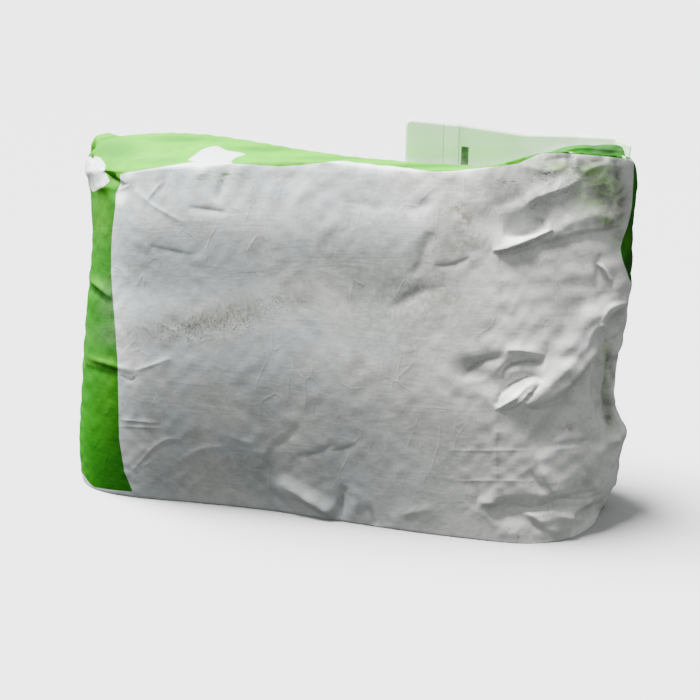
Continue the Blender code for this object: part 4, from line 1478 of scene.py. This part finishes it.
# %% Folded end
END_WHITE, END_TINT, END_DEEP = (0.82, 0.84, 0.81), (0.72, 0.85, 0.68), (0.48, 0.70, 0.44)
WELD_WHITE, WELD_EDGE = (0.88, 0.90, 0.88), (0.35, 0.37, 0.34)
END_CLOUDS, FRAYS = Pattern(18, 3), Pattern((900, 900, 60), 3, 0.7)
TINTED_CLOUDS, TINT_INWARDS, DEEP_INWARDS = (0.35, 0.55, 0.3, 1.0), (20, 42), (95, 150, 0.0, 0.6)
FRAY_REACH, WELD_FRINGE, WELD_COVER = 3.0, (2.2, 0.6), 0.85
WELD_SIDE, TOP_EDGE = (0.55, 0.2, 0.0, 0.7), (0.9, 0.3, 0.0, 0.6)

end_material, tree, shader = material_named("folded_end_film", 0.38)
place = note_of(tree, "rest", vector=True)
inwards = note_of(tree, "from_edge")
downwards = note_of(tree, "below_top")
tinted = share_between(tree, noise(tree, place, END_CLOUDS), *TINTED_CLOUDS)
tinted = product(tree, tinted, share_between(tree, inwards, *TINT_INWARDS))
colour = mixed(tree, tinted, END_WHITE, END_TINT)
colour = mixed(tree, share_between(tree, inwards, *DEEP_INWARDS), colour, END_DEEP)
weld_middle = (WELD_LINES[0] + WELD_LINES[-1]) / 2 / MM
weld_half = (WELD_LINES[-1] - WELD_LINES[0]) / 2 / MM
off_middle = arithmetic(tree, "ABSOLUTE", arithmetic(tree, "SUBTRACT", inwards, weld_middle))
frayed = arithmetic(tree, "ADD", off_middle, product(tree, noise(tree, place, FRAYS), FRAY_REACH))
fringe = [weld_half + reach for reach in WELD_FRINGE]
colour = mixed(tree, share_between(tree, frayed, *fringe, 0.0, WELD_COVER), colour, WELD_WHITE)
off_side = arithmetic(tree, "ABSOLUTE", arithmetic(tree, "SUBTRACT", off_middle, weld_half))
colour = mixed(tree, share_between(tree, off_side, *WELD_SIDE), colour, WELD_EDGE)
colour = mixed(tree, share_between(tree, downwards, *TOP_EDGE), colour, WELD_EDGE)
print("weld is", round(2 * weld_half, 1), "mm wide,", round(weld_middle, 1), "mm from the free edge")

# %% [markdown]
# One plain dark bar is printed on the end, which the filling machine's light cell looks for. It is a little
# worn. The glow of the end stands for the daylight that comes through the two films from behind.

# %% The dark bar and the light through the end
MARK_GREY = (0.05, 0.055, 0.05)
MARK_FROM_EDGE, MARK_BELOW_TOP, MARK_HEIGHT, MARK_BLUR = (37.4, 42.6), 16.5, 32.0, 0.2
MARK_WEAR, END_SPECKS = Pattern(120, 3), Pattern(420, 2, 0.7)
WORN, SPECKS_FROM = (0.35, 0.6, 0.86, 1.0), (0.72, 0.76, 0.0, 0.7)
END_PULLS, END_PULL_DEPTH = Pattern((30, 30, 12), 4, 0.6, 0.5), 0.0008
LIGHT_THROUGH = 0.40


def within(value, low, high):
    """A share that is 1 between two places and 0 outside, with a soft edge."""
    begun = share_between(tree, value, low - MARK_BLUR, low + MARK_BLUR)
    return product(tree, begun, share_between(tree, value, high + MARK_BLUR, high - MARK_BLUR))


across_mark = within(inwards, *MARK_FROM_EDGE)
down_mark = within(downwards, MARK_BELOW_TOP, MARK_BELOW_TOP + MARK_HEIGHT)
worn = share_between(tree, noise(tree, place, MARK_WEAR), *WORN)
colour = mixed(tree, product(tree, across_mark, down_mark, worn), colour, MARK_GREY)
specks = share_between(tree, noise(tree, place, END_SPECKS), *SPECKS_FROM)
colour = mixed(tree, specks, colour, SOOT)
feed(shader.inputs["Base Color"], colour)
feed(shader.inputs["Emission Color"], colour)
shader.inputs["Emission Strength"].default_value = LIGHT_THROUGH
feed(shader.inputs["Normal"], bumped(tree, noise(tree, place, END_PULLS), END_PULL_DEPTH))
folded_end.data.materials.clear()
folded_end.data.materials.append(end_material)
print("folded end finish has", len(tree.nodes), "nodes")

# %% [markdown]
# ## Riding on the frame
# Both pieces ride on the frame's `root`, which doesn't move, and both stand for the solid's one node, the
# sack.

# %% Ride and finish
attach(film, "root")
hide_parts("sack")
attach(folded_end, "root")
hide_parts("sack")
